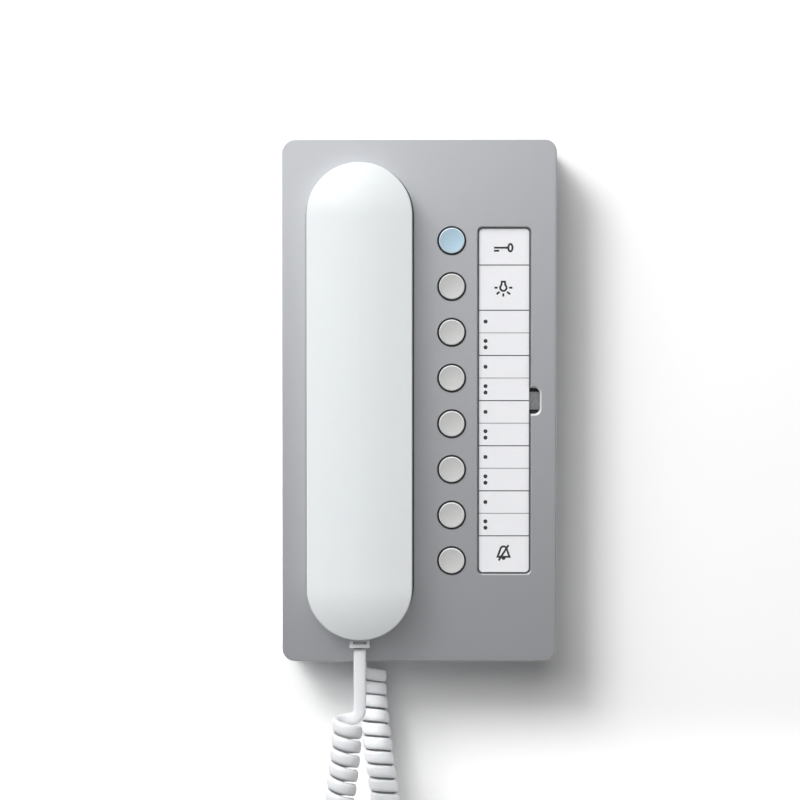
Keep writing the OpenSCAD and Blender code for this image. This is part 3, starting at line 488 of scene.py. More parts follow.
    def _grip(self) -> bpy.types.NodeTree:
        """Makes painted shade on the floor and in the pockets of a notch below the front face, and a
        painted highlight on its rim.

        Returns:
            A group that gives masks of the painted shade and of the painted highlight on the notch's
            rim.
        """
        limits = ("Left", "Right", "Half", "Face", "Floor", "Pocket")
        inputs = {name: 0.0 for name in limits} | {"Depth": 0.4, "Polish": 0.6}
        wires, given, out = self._start(Effect.GRIP, inputs, ("Mask", "Rim"))
        coordinates = wires.place()
        place = wires.split(coordinates)
        inside = wires.product(*(
            wires.maths(operation, value, given[limit])
            for operation, value, limit in (
                ("GREATER_THAN", place["X"], "Left"),
                ("LESS_THAN", place["X"], "Right"),
                ("LESS_THAN", wires.maths("ABSOLUTE", place["Z"]), "Half"),
                ("GREATER_THAN", place["Y"], "Face"),
            )
        ))
        low = wires.maths("GREATER_THAN", place["Y"], given["Floor"])
        pocket = wires.maths("GREATER_THAN", place["Y"], given["Pocket"])
        uneven = wires.maths("ADD", wires.noise(coordinates, self.NOTCH_CELLS), 0.5)
        deeper = wires.maths("ADD", pocket, 1.0)
        wires.feed(out["Mask"], wires.product(inside, uneven, low, given["Depth"], deeper))
        rim = wires.maths("MAXIMUM", wires.maths("SUBTRACT", inside, low), 0.0)
        wires.feed(out["Rim"], wires.product(rim, given["Polish"]))
        return wires.tree


def start_material(name: str) -> tuple[bpy.types.Material, Wiring, bpy.types.Node]:
    """Starts the material of one slot or ink.

    Args:
        name: Name of the slot or ink.

    Returns:
        The material, its wiring and its Principled shader.
    """
    material = bpy.data.materials.new(name + "_finish")
    material.use_nodes = True
    return material, Wiring(material.node_tree), material.node_tree.nodes["Principled BSDF"]


@dataclass(frozen=True)
class NotchShadeField:
    """Upright field on the front in which painted shade darkens what lies below the face, and a painted
    highlight lights the notch's rim.
    """

    left: float = 42.4 * MM
    right: float = 47.6 * MM
    half_height: float = 6 * MM
    face: float = -27.97 * MM
    floor: float = -27.35 * MM
    pocket: float = -25.4 * MM
    depth: float = 0.42
    polish: float = 0.6

    def place(self, wires: Wiring, effects: EffectLibrary) -> Sockets:
        """Places the painted shade and the painted highlight in a material.

        Args:
            wires: The material's wiring.
            effects: The shared node groups.

        Returns:
            The masks of the painted shade and of the painted highlight on the rim.
        """
        return wires.group(
            effects[Effect.GRIP], Left=self.left, Right=self.right, Half=self.half_height,
            Face=self.face, Floor=self.floor, Pocket=self.pocket, Depth=self.depth,
            Polish=self.polish,
        )


@dataclass(frozen=True)
class Finish:
    """A moulded, painted or metal surface with grain, painted shade with some dust in its gaps, and
    edges lightened by wear and painted highlight.
    """

    name: str
    tone: Tone
    roughness: float
    metallic: float = 0.0
    grain_scale: float = 4000.0
    grain_height: float = 0.02 * MM
    tone_spread: float = 0.02
    gloss_spread: float = 0.08
    recess_depth: float = 0.2
    recess_reach: float = 3 * MM
    wear: float = 0.08
    subsurface: float = 0.0
    subsurface_scale: float = 1.5 * MM
    coat: float = 0.0
    transmission: float = 0.0
    brushed: bool = False
    traces: Tone | None = None
    grip: NotchShadeField | None = None
    rim: float = 0.0

    def make(self, effects: EffectLibrary) -> bpy.types.Material:
        """Builds the material.

        Args:
            effects: The shared node groups.

        Returns:
            The finished material.
        """
        material, wires, shader = start_material(self.name)
        grain = wires.group(effects[Effect.GRAIN], Colour=self.tone.linear,
                            Scale=self.grain_scale, Spread=self.tone_spread)
        colour, metallic = grain["Colour"], self.metallic
        for effect, values, tint in self._layers():
            colour = wires.mix(wires.group(effects[effect], **values)["Mask"], colour, tint)
        if self.grip:
            # Painted shade darkens the notch's floor and pockets, and a painted highlight whitens its
            # rim and takes away its metal.
            notch_paint = self.grip.place(wires, effects)
            colour = wires.mix(notch_paint["Mask"], colour, SHADE_AND_DUST)
            colour = wires.mix(notch_paint["Rim"], colour, POLISH_AND_HIGHLIGHT)
            metallic = wires.product(wires.maths("SUBTRACT", 1.0, notch_paint["Rim"]), metallic)
        surface = wires.group(effects[Effect.BRUSHED]) if self.brushed else grain
        drift = wires.product(surface["Gloss"], self.gloss_spread)
        wires.relief(shader, surface["Height"], self.grain_height)
        for name, source in (
            ("Base Color", colour),
            ("Metallic", metallic),
            ("Roughness", wires.maths("ADD", drift, self.roughness)),
            ("Coat Weight", self.coat),
            ("Transmission Weight", self.transmission),
            ("Subsurface Weight", self.subsurface),
            ("Subsurface Scale", self.subsurface_scale),
        ):
            wires.feed(shader.inputs[name], source)
        return material

    def _layers(self) -> list[tuple[Effect, dict[str, float], Colour]]:
        """Lists the layers over the grain, from the lowest.

        Returns:
            Each layer's effect, the effect's values and the colour that it brings.
        """
        layers = []
        if self.traces:
            layers.append((Effect.TRACES, {}, self.traces.linear))
        # Outer edges are lightened, partly by wear and partly by painted highlight.
        if self.wear:
            layers.append((Effect.WEAR, {"Amount": self.wear}, POLISH_AND_HIGHLIGHT))
        # Rims where the front turns to the side get a painted highlight.
        if self.rim:
            layers.append((Effect.RIM, {"Amount": self.rim}, POLISH_AND_HIGHLIGHT))
        # Painted shade, with some dust, darkens gaps and inner corners, such as the rings round the
        # buttons, the plug's slot and the grooves between the cord's curls.
        if self.recess_depth:
            values = {"Reach": self.recess_reach, "Depth": self.recess_depth}
            layers.append((Effect.RECESS, values, SHADE_AND_DUST))
        return layers


@dataclass(frozen=True)
class PaperFinish:
    """Printed paper of one tone, with fibres."""

    name: str
    tone: Tone
    roughness: float = 0.75
    tint: float = 0.05
    specular: float = 0.3
    fibre_height: float = 0.01 * MM

    def make(self, effects: EffectLibrary) -> bpy.types.Material:
        """Builds the material.

        Args:
            effects: The shared node groups.

        Returns:
            The finished material.
        """
        material, wires, shader = start_material(self.name)
        fibre = wires.group(effects[Effect.FIBRE])
        shade = wires.maths("ADD", wires.product(fibre["Tint"], self.tint), 1.0)
        colour = wires.mix(1.0, self.tone.linear, shade, "MULTIPLY")
        wires.feed(shader.inputs["Base Color"], colour)
        wires.relief(shader, fibre["Height"], self.fibre_height)
        wires.feed(shader.inputs["Roughness"], self.roughness)
        wires.feed(shader.inputs["Specular IOR Level"], self.specular)
        return material


@dataclass(frozen=True)
class ClearFinish:
    """Clear plastic sheet that lets light through to what lies under it."""

    name: str
    tone: Tone
    cover: float = 0.005
    roughness: float = 0.06
    gloss_spread: float = 0.02
    grain_scale: float = 600.0
    tone_spread: float = 0.01
    edge_radius: float = 0.3 * MM
    edge_wear: float = 0.2
    refraction: float = 1.49

    def make(self, effects: EffectLibrary) -> bpy.types.Material:
        """Builds the material.

        Args:
            effects: The shared node groups.

        Returns:
            The finished material.
        """
        material, wires, shader = start_material(self.name)
        grain = wires.group(effects[Effect.GRAIN], Colour=self.tone.linear,
                            Scale=self.grain_scale, Spread=self.tone_spread)
        edge = wires.group(effects[Effect.WEAR], Radius=self.edge_radius, Amount=self.edge_wear)
        gloss = wires.node("ShaderNodeFresnel")
        wires.feed(gloss.inputs["IOR"], self.refraction)
        side = wires.node("ShaderNodeNewGeometry")
        front = wires.maths("SUBTRACT", 1.0, side.outputs["Backfacing"])
        shown = wires.product(wires.maths("ADD", gloss.outputs["Fac"], edge["Mask"]), front)
        drift = wires.product(grain["Gloss"], self.gloss_spread)
        wires.feed(shader.inputs["Base Color"], grain["Colour"])
        wires.feed(shader.inputs["Alpha"], wires.maths("ADD", shown, self.cover))
        wires.feed(shader.inputs["Roughness"], wires.maths("ADD", drift, self.roughness))
        return material


class FinishSet:
    """One material for each of the part's material slots, and the two inks."""

    FINISHES: tuple[Finish | PaperFinish | ClearFinish, ...] = (
        Finish("housing_silver", Tone.SILVER, 0.38, metallic=0.9, grain_scale=7000.0,
               grain_height=0.012 * MM, tone_spread=0.012, recess_depth=0.85, wear=0.35,
               grip=NotchShadeField()),
        Finish("handset_white", Tone.WHITE, 0.34, grain_scale=1500.0, grain_height=0.006 * MM,
               tone_spread=0.006, recess_depth=0.3, wear=0.0, subsurface=0.08),
        Finish("button_grey", Tone.KEY_GREY, 0.42, grain_height=0.01 * MM, recess_depth=0.9,
               recess_reach=2 * MM, wear=0.3, rim=1.0),
        Finish("button_blue", Tone.KEY_BLUE, 0.4, grain_height=0.01 * MM, recess_depth=0.9,
               recess_reach=2 * MM, wear=0.3, rim=1.0),
        ClearFinish("clear_cover", Tone.CLEAR),
        PaperFinish("label_paper", Tone.PAPER),
        Finish("dark_plastic", Tone.DARK_PLASTIC, 0.5, grain_scale=3000.0,
               grain_height=0.03 * MM, tone_spread=0.05, wear=0.06),
        Finish("board_green", Tone.BOARD_GREEN, 0.35, tone_spread=0.08, coat=0.3,
               traces=Tone.COPPER_GREEN),
        Finish("terminal_green", Tone.TERMINAL_GREEN, 0.45, tone_spread=0.04),
        Finish("steel", Tone.STEEL, 0.3, metallic=1.0, brushed=True, gloss_spread=0.2),
        Finish("black_rubber", Tone.RUBBER, 0.7, grain_scale=5000.0, tone_spread=0.08),
        Finish("speaker_black", Tone.SPEAKER, 0.55, tone_spread=0.06),
        Finish("plug_grey", Tone.PLUG_CLEAR, 0.2, grain_scale=900.0, transmission=0.12,
               recess_depth=0.9, recess_reach=1.5 * MM, wear=0.15),
        Finish("cord_white", Tone.CORD_WHITE, 0.42, grain_scale=2500.0, grain_height=0.01 * MM,
               tone_spread=0.015, recess_depth=0.85, recess_reach=2 * MM, wear=0.0,
               subsurface=0.1),
        PaperFinish("label_ink", Tone.INK, roughness=0.6, tint=0.2),
        PaperFinish("pale_ink", Tone.PALE_INK, roughness=0.6, tint=0.2),
    )

    def __init__(self) -> None:
        """Builds the effect groups and every material."""
        effects = EffectLibrary()
        self.materials = {finish.name: finish.make(effects) for finish in self.FINISHES}

    def __getitem__(self, name: str) -> bpy.types.Material:
        """Returns the material of one slot or ink."""
        return self.materials[name]

    def dress(self, node: bpy.types.Object) -> None:
        """Gives a CAD node the finish of its own slot."""
        for slot in node.material_slots:
            slot.material = self.materials[slot.material.name.split(".")[0]]


def new_mesh(
    name: str,
    points: Iterable[Sequence[float]],
    faces: Iterable[Sequence[int]],
    smooth: bool,
    weld: float = 0.0,
) -> bpy.types.Object:
    """Makes a mesh object and links it to the scene.

    Args:
        name: Name of the object and its mesh.
        points: Vertex places in metres.
        faces: Vertex numbers of each face.
        smooth: Whether the faces are shaded smooth.
        weld: Distance within which points become one.

    Returns:
        The new object.
    """
    mesh = bpy.data.meshes.new(name)
    mesh.from_pydata([tuple(p) for p in points], [], [tuple(f) for f in faces])
    shape = bmesh.new()
    shape.from_mesh(mesh)
    if weld:
        bmesh.ops.remove_doubles(shape, verts=shape.verts, dist=weld)
    bmesh.ops.recalc_face_normals(shape, faces=shape.faces)
    shape.to_mesh(mesh)
    shape.free()
    mesh.polygons.foreach_set("use_smooth", [smooth] * len(mesh.polygons))
    made = bpy.data.objects.new(name, mesh)
    bpy.context.scene.collection.objects.link(made)
    return made


def join_rings(name: str, rings: Sequence[Sequence[Vector]], smooth: bool) -> bpy.types.Object:
    """Joins rings into one closed piece.

    Args:
        name: Name of the piece.
        rings: Rings with the same number of points.
        smooth: Whether the faces are shaded smooth.

    Returns:
        The piece.
    """
    sides = len(rings[0])
    faces = []
    for i in range(len(rings) - 1):
        for j in range(sides):
            a, b = i * sides + j, i * sides + (j + 1) % sides
            faces.append((a, b, b + sides, a + sides))
    faces.append(tuple(range(sides)))
    faces.append(tuple(range((len(rings) - 1) * sides, len(rings) * sides)))
    return new_mesh(name, [p for ring in rings for p in ring], faces, smooth)


@dataclass(frozen=True)
class SubAssembly:
    """Solids of the part that belong together, and those of them with a crown or a dish."""

    nodes: tuple[str, ...] = ()
    rounded: tuple[str, ...] = ()

    def build(self, finishes: FinishSet) -> list[bpy.types.Object]:
        """Dresses the solids and makes the pieces that only the looks have.

        Args:
            finishes: The part's materials.

        Returns:
            The new pieces.
        """
        for name in self.nodes:
            finishes.dress(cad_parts[name])
        for name in self.rounded:
            self.even_shading(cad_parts[name])
        return self.pieces(finishes)

    def pieces(self, finishes: FinishSet) -> list[bpy.types.Object]:
        """Returns the pieces that only the looks have: none, unless a sub-assembly makes its own."""
        return []

    @staticmethod
    def even_shading(node: bpy.types.Object) -> None:
        """Shades a solid by its faces' areas, so that its crown or dish stays smooth in the middle.

        Args:
            node: The solid.
        """
        even = node.modifiers.new("even_shading", "WEIGHTED_NORMAL")
        even.mode = "FACE_AREA"
        even.keep_sharp = True


@dataclass(frozen=True)
class Housing(SubAssembly):
    """Front housing with the cradle, and the base plate on the wall."""

    nodes: tuple[str, ...] = ("front_housing", "base_plate")


@dataclass(frozen=True)
class Handset(SubAssembly):
    """The lift-off handset with its capsules, weight and screws."""

    nodes: tuple[str, ...] = (
        "handset_shell", "handset_inner_shell", "handset_jack", "handset_screws", "handset_weight",
        "earpiece_capsule", "earpiece_seal", "microphone_capsule", "microphone_holder",
    )
    rounded: tuple[str, ...] = ("handset_shell",)


BUTTONS = (
    "door_button", "light_button", "call_button_1", "call_button_2", "call_button_3",
    "call_button_4", "call_button_5", "mute_button",
)


@dataclass(frozen=True)
class KeyPad(SubAssembly):
    """The eight buttons and the rubber mat under them, with a dome under each button.

    A dome's outline is in millimetres: the distance from its middle, and from the wall.
    """

    nodes: tuple[str, ...] = BUTTONS + ("key_mat",)
    rounded: tuple[str, ...] = BUTTONS
    middle_x: float = 12.4 * MM
    pitch: float = 17.5 * MM
    mat_half: float = 7.2 * MM
    mat_under: float = 15.5 * MM
    mat_top: float = 16.7 * MM
    hole_under: float = 4.75 * MM
    hole_top: float = 3.84 * MM
    dome_mm: tuple[Flat, ...] = (
        (1.4, 16.5), (1.4, 19.0), (2.1, 19.0), (3.84, 16.7), (5.2, 16.7), (3.0, 19.9),
    )
    dome_sides: int = 40
    border_steps: int = 8
    weld: float = 0.001 * MM
    pressed_share: float = 0.7

    def pieces(self, finishes: FinishSet) -> list[bpy.types.Object]:
        """Makes the mat as a sheet with holes and a dome for each button.

        Args:
            finishes: The part's materials.

        Returns:
            The sheet and the eight domes.
        """
        heights = [((len(BUTTONS) - 1) / 2 - i) * self.pitch for i in range(len(BUTTONS))]
        domes = [self._dome(name, z) for name, z in zip(BUTTONS, heights)]
        made = [self._sheet(heights)] + domes
        for piece in made:
            piece.data.materials.append(finishes["black_rubber"])
            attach(piece, "base")
            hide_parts("key_mat")
        for name, z, dome in zip(BUTTONS, heights, domes):
            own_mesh(dome)
        return made

    def _dome(self, name: str, z: float) -> bpy.types.Object:
        """Makes the hollow dome under one button, with its contact pill.

        Args:
            name: Name of the button.
            z: Height of the button's middle.

        Returns:
            The dome.
        """
        turns = [2 * math.pi * k / self.dome_sides for k in range(self.dome_sides)]
        middle = Vector((self.middle_x, 0, z))
        rings = []
        for radius, away in self.dome_mm:
            ring = [Vector((radius * math.cos(t), -away, radius * math.sin(t))) for t in turns]
            rings.append([middle + p * MM for p in ring])
        return join_rings(name + "_dome", rings, smooth=False)

    def _border(self, high: float, low: float) -> list[Flat]:
        """Lays points round one button's share of the sheet.

        Args:
            high: How far the share reaches above the button's middle.
            low: How far it reaches below.

        Returns:
            The points, measured from the button's middle.
        """
        half, steps = self.mat_half, self.border_steps
        corners = [(-half, high), (half, high), (half, -low), (-half, -low)]
        made = []
        for (ax, az), (bx, bz) in zip(corners, corners[1:] + corners[:1]):
            made += [(ax + (bx - ax) * k / steps, az + (bz - az) * k / steps) for k in range(steps)]
        return made

    def _sheet(self, heights: list[float]) -> bpy.types.Object:
        """Makes the sheet with a hole under each dome.

        Args:
            heights: Heights of the buttons' middles.

        Returns:
            The sheet.
        """
        points, faces = [], []
        last = len(heights) - 1
        for i, z in enumerate(heights):
            high = self.mat_half if i == 0 else self.pitch / 2
            low = self.mat_half if i == last else self.pitch / 2
            border = self._border(high, low)
            first = len(points)
            for x, up in border:
                reach = math.hypot(x, up)
                for share, away in (
                    (1.0, self.mat_top),
                    (1.0, self.mat_under),
                    (self.hole_top / reach, self.mat_top),
                    (self.hole_under / reach, self.mat_under),
                ):
                    points.append((self.middle_x + share * x, -away, z + share * up))
            for k, here in enumerate(border):
                after = (k + 1) % len(border)
                a, b = first + 4 * k, first + 4 * after
                faces += [(a, b, b + 2, a + 2), (a + 1, a + 3, b + 3, b + 1),
                          (a + 2, b + 2, b + 3, a + 3)]
                ends = (here, border[after])
                outside = all(abs(x) == self.mat_half for x, _ in ends)
                outside |= i == 0 and all(up == high for _, up in ends)
                outside |= i == last and all(up == -low for _, up in ends)
                if outside:
                    faces.append((a, a + 1, b + 1, b))
        return new_mesh("key_sheet", points, faces, smooth=False, weld=self.weld)


@dataclass(frozen=True)
class Electronics(SubAssembly):
    """Circuit board, terminals, loudspeaker, hook contact and base jack inside the housing."""

    nodes: tuple[str, ...] = (
        "circuit_board", "board_screws", "terminal_block", "terminal_screws", "call_loudspeaker",
        "loudspeaker_gasket", "hook_switch", "hook_spring", "hook_plunger", "base_jack",
    )


@dataclass(frozen=True)
class Viewpoint:
    """Camera one metre in front of the phone's face, a little above its middle."""

    place: Place = (-7.37 * MM, -1028 * MM, 30 * MM)
    target: Place = (-7.37 * MM, -28 * MM, 0.33 * MM)
    frame_width: float = 306.24 * MM
    sensor: float = 36.0
    clip_near: float = 0.01
    clip_far: float = 20.0

    def build(self) -> None:
        """Makes the camera and gives it to the scene."""
        data = bpy.data.cameras.new("camera")
        away = Vector(self.target) - Vector(self.place)
        data.sensor_width = self.sensor
        data.lens = self.sensor * away.length / self.frame_width
        data.clip_start, data.clip_end = self.clip_near, self.clip_far
        camera = bpy.data.objects.new("camera", data)
        camera.location = self.place
        camera.rotation_euler = away.to_track_quat("-Z", "Y").to_euler()
        bpy.context.scene.collection.objects.link(camera)
        bpy.context.scene.camera = camera


class Reach(Enum):
    """What a lamp does with the pieces that it names."""

    LEAVES_OUT = "EXCLUDE"
    LIGHTS_ONLY = "INCLUDE"


@dataclass(frozen=True)
class SoftLamp:
    """Square lamp that looks at the phone's middle, and the pieces it leaves out or lights alone."""

    name: str
    place: Place
    size: float
    power: float
    reach: Reach = Reach.LEAVES_OUT
    named: tuple[str, ...] = ()

    def build(self) -> None:
        """Makes the lamp."""
        data = bpy.data.lights.new(self.name, "AREA")
        data.shape = "SQUARE"
        data.size = self.size
        data.energy = self.power
        lamp = bpy.data.objects.new(self.name, data)
        lamp.location = self.place
        lamp.rotation_euler = (-Vector(self.place)).to_track_quat("-Z", "Y").to_euler()
        bpy.context.scene.collection.objects.link(lamp)
        if self.named:
            pieces = bpy.data.collections.new(self.name + "_pieces")
            for name in self.named:
                pieces.objects.link(bpy.data.objects[name])
            for entry in pieces.collection_objects:
                entry.light_linking.link_state = self.reach.value
            lamp.light_linking.receiver_collection = pieces


@dataclass(frozen=True)
class Studio:
    """White wall, soft lamps at the upper left, weak ones at the right and for the cord, and a room."""

    wall_half: float = 2.5
    wall_place: float = 0.4 * MM
    wall_bounce: float = 0.75
    wall_shown: float = 1.35
    # The wall's lower part is shown brighter: a painted lift for the dimmer light there.
    wall_shown_low: float = 1.62
    fade_high: float = -118 * MM
    fade_low: float = -152 * MM
    lamps: tuple[SoftLamp, ...] = (
        SoftLamp("key_lamp", (-0.65, -1.0, 0.85), 0.5, 7.8),
        SoftLamp("broad_lamp", (-0.58, -0.92, 0.74), 1.2, 6.7),
        SoftLamp("right_lamp", (0.9, -0.85, 0.05), 0.8, 4.2, named=("wall", "front_housing")),
        SoftLamp("cord_lamp", (0.35, -0.95, -0.3), 0.5, 1.3, Reach.LIGHTS_ONLY,
                 named=("cord_base_half",)),
    )
    room_low: float = 0.08
    room_high: float = 0.84
    room_edge: float = 0.34
    room_right: float = 0.1
    right_near: float = 0.17
    right_far: float = 0.4
    room_left: float = 2.0
    room_left_low: float = 0.0
    left_near: float = -0.12
    left_far: float = -0.75
    left_low: float = 0.05
    left_high: float = 0.5
    room_back: float = 0.6
    back_near: float = 0.0
    back_far: float = 0.3
    room_shown: float = 0.9

    def build(self) -> None:
        """Makes the wall, the lamps and the room's light."""
        bpy.context.scene.view_settings.view_transform = "Standard"
        self._wall()
        for lamp in self.lamps:
            lamp.build()
        self._room()

    def _wall(self) -> None:
        """Makes the wall, which shows its front only and keeps no light off the part's rear."""
        half, depth = self.wall_half, self.wall_place
        corners = [(x * half, depth, z * half) for x, z in ((-1, -1), (1, -1), (1, 1), (-1, 1))]
        wall = new_mesh("wall", corners, [(0, 1, 2, 3)], smooth=False)
        material = bpy.data.materials.new("wall_paint")
        material.use_nodes = True
        material.node_tree.nodes.clear()
        wires = Wiring(material.node_tree)
        path = wires.node("ShaderNodeLightPath").outputs
        seen = wires.maths("ADD", path["Is Camera Ray"], path["Is Glossy Ray"])
        seen = wires.maths("ADD", seen, path["Is Transmission Ray"])
        seen = wires.maths("MINIMUM", seen, 1.0)
        # Below the fade the wall's shown colour is painted brighter, to make up for the dimmer light
        # that reaches it there.
        height = wires.split(wires.place())["Z"]
        shown = wires.step(
            height, self.fade_low, self.fade_high, self.wall_shown_low, self.wall_shown
        )
        bounce = (self.wall_bounce,) * 3 + (1.0,)
        paint = wires.node("ShaderNodeBsdfDiffuse")
        wires.feed(paint.inputs["Color"], wires.mix(seen, bounce, shown))
        behind = wires.node("ShaderNodeMixShader")
        wires.feed(behind.inputs[0], wires.node("ShaderNodeNewGeometry").outputs["Backfacing"])
        wires.feed(behind.inputs[1], paint.outputs[0])
        wires.feed(behind.inputs[2], wires.node("ShaderNodeBsdfTransparent").outputs[0])
        wires.feed(wires.node("ShaderNodeOutputMaterial").inputs["Surface"], behind.outputs[0])
        wall.data.materials.append(material)
        wall.visible_shadow = False

    def _room(self) -> None:
        """Makes the room's light, brighter above and at the left than below and at the right."""
        world = bpy.data.worlds.new("room")
        world.use_nodes = True
        bpy.context.scene.world = world
        wires = Wiring(world.node_tree)
        way = wires.split(wires.node("ShaderNodeTexCoord").outputs["Generated"])
        upright, sideways = way["Z"], way["X"]
        height = wires.step(upright, -self.room_edge, self.room_edge, self.room_low, self.room_high)
        right = wires.step(sideways, self.right_near, self.right_far, 1.0, self.room_right)
        far_left = wires.step(
            upright, self.left_low, self.left_high, self.room_left_low, self.room_left
        )
        left = wires.step(sideways, self.left_near, self.left_far, 1.0, far_left)
        light = wires.product(height, right, left)
        light = wires.step(way["Y"], self.back_near, self.back_far, light, self.room_back)
        seen = wires.node("ShaderNodeLightPath").outputs["Is Camera Ray"]
        shown = (self.room_shown,) * 3 + (1.0,)
        background = world.node_tree.nodes["Background"]
        wires.feed(background.inputs["Color"], wires.mix(seen, light, shown))


@dataclass(frozen=True)
class CurlyCord(SubAssembly):
    """Flat curly cord from the handset's plug down in a loop and up to the base plug.

    The route, the curls and the leads repeat those of the part's solid. The sag is in millimetres,
    and the angles and the slope are in degrees.
    """

    nodes: tuple[str, ...] = ("handset_cord", "handset_plug", "base_plug")
    width: float = 4.7 * MM
    thickness: float = 2.4 * MM
    curl_radius: float = 4.6 * MM
    curls: int = 58
    handset_lead: float = 24 * MM
    base_lead: float = 6 * MM
    handset_plug: Place = (-22.7 * MM, -35.6 * MM, -93.6 * MM)
    base_plug: Place = (-22.7 * MM, -12 * MM, -97.4 * MM)
    sag_mm: tuple[Place, ...] = (
        (0, 0, 0), (0, 0, -11.4), (0, 0, -23.4), (-1.5, -1.8, -39.2), (-4, -3.1, -56.1),
        (-7.5, -4, -77.9), (-11, -3.8, -101.7), (-13.5, -3.6, -125.6), (-13.5, -2.9, -147.4),
        (-9.5, -1.6, -165.2), (-2, -0.2, -175.1), (6.4, 0.5, -172.9), (12.9, 0.9, -160.8),
        (14.9, 1, -141.6), (13.9, 0.6, -118.4), (11.4, 0.2, -94.3), (8.4, -0.3, -72.1),
        (5.2, -0.7, -51.9), (2, -0.2, -31.8), (0, 0, -16.6), (0, 0, -7.6), (0, 0, 0),
    )
    lead_points: int = 2
    route_steps: int = 8
    loop_normal: Place = (0.8, -0.6, 0.0)
    handset_angle: float = 126.87
    base_angle: float = 53.13
    lead_bend_radius: float = 3.4 * MM
    lead_side: float = 4.4 * MM
    curl_slope: float = 10.0
    look: float = 4 * MM
    bend_look: float = 14 * MM
    coil_steps: int = 160
    rings_per_curl: int = 24
    bend_rings: int = 12
    lead_rings: int = 8
    section_points: int = 20
    section_power: float = 2.8
    level_reach: float = 2.5 * MM

    def pieces(self, finishes: FinishSet) -> list[bpy.types.Object]:
        """Makes the cord in two halves that meet at the bottom of the loop."""
        return CordMaker(self).build(finishes)


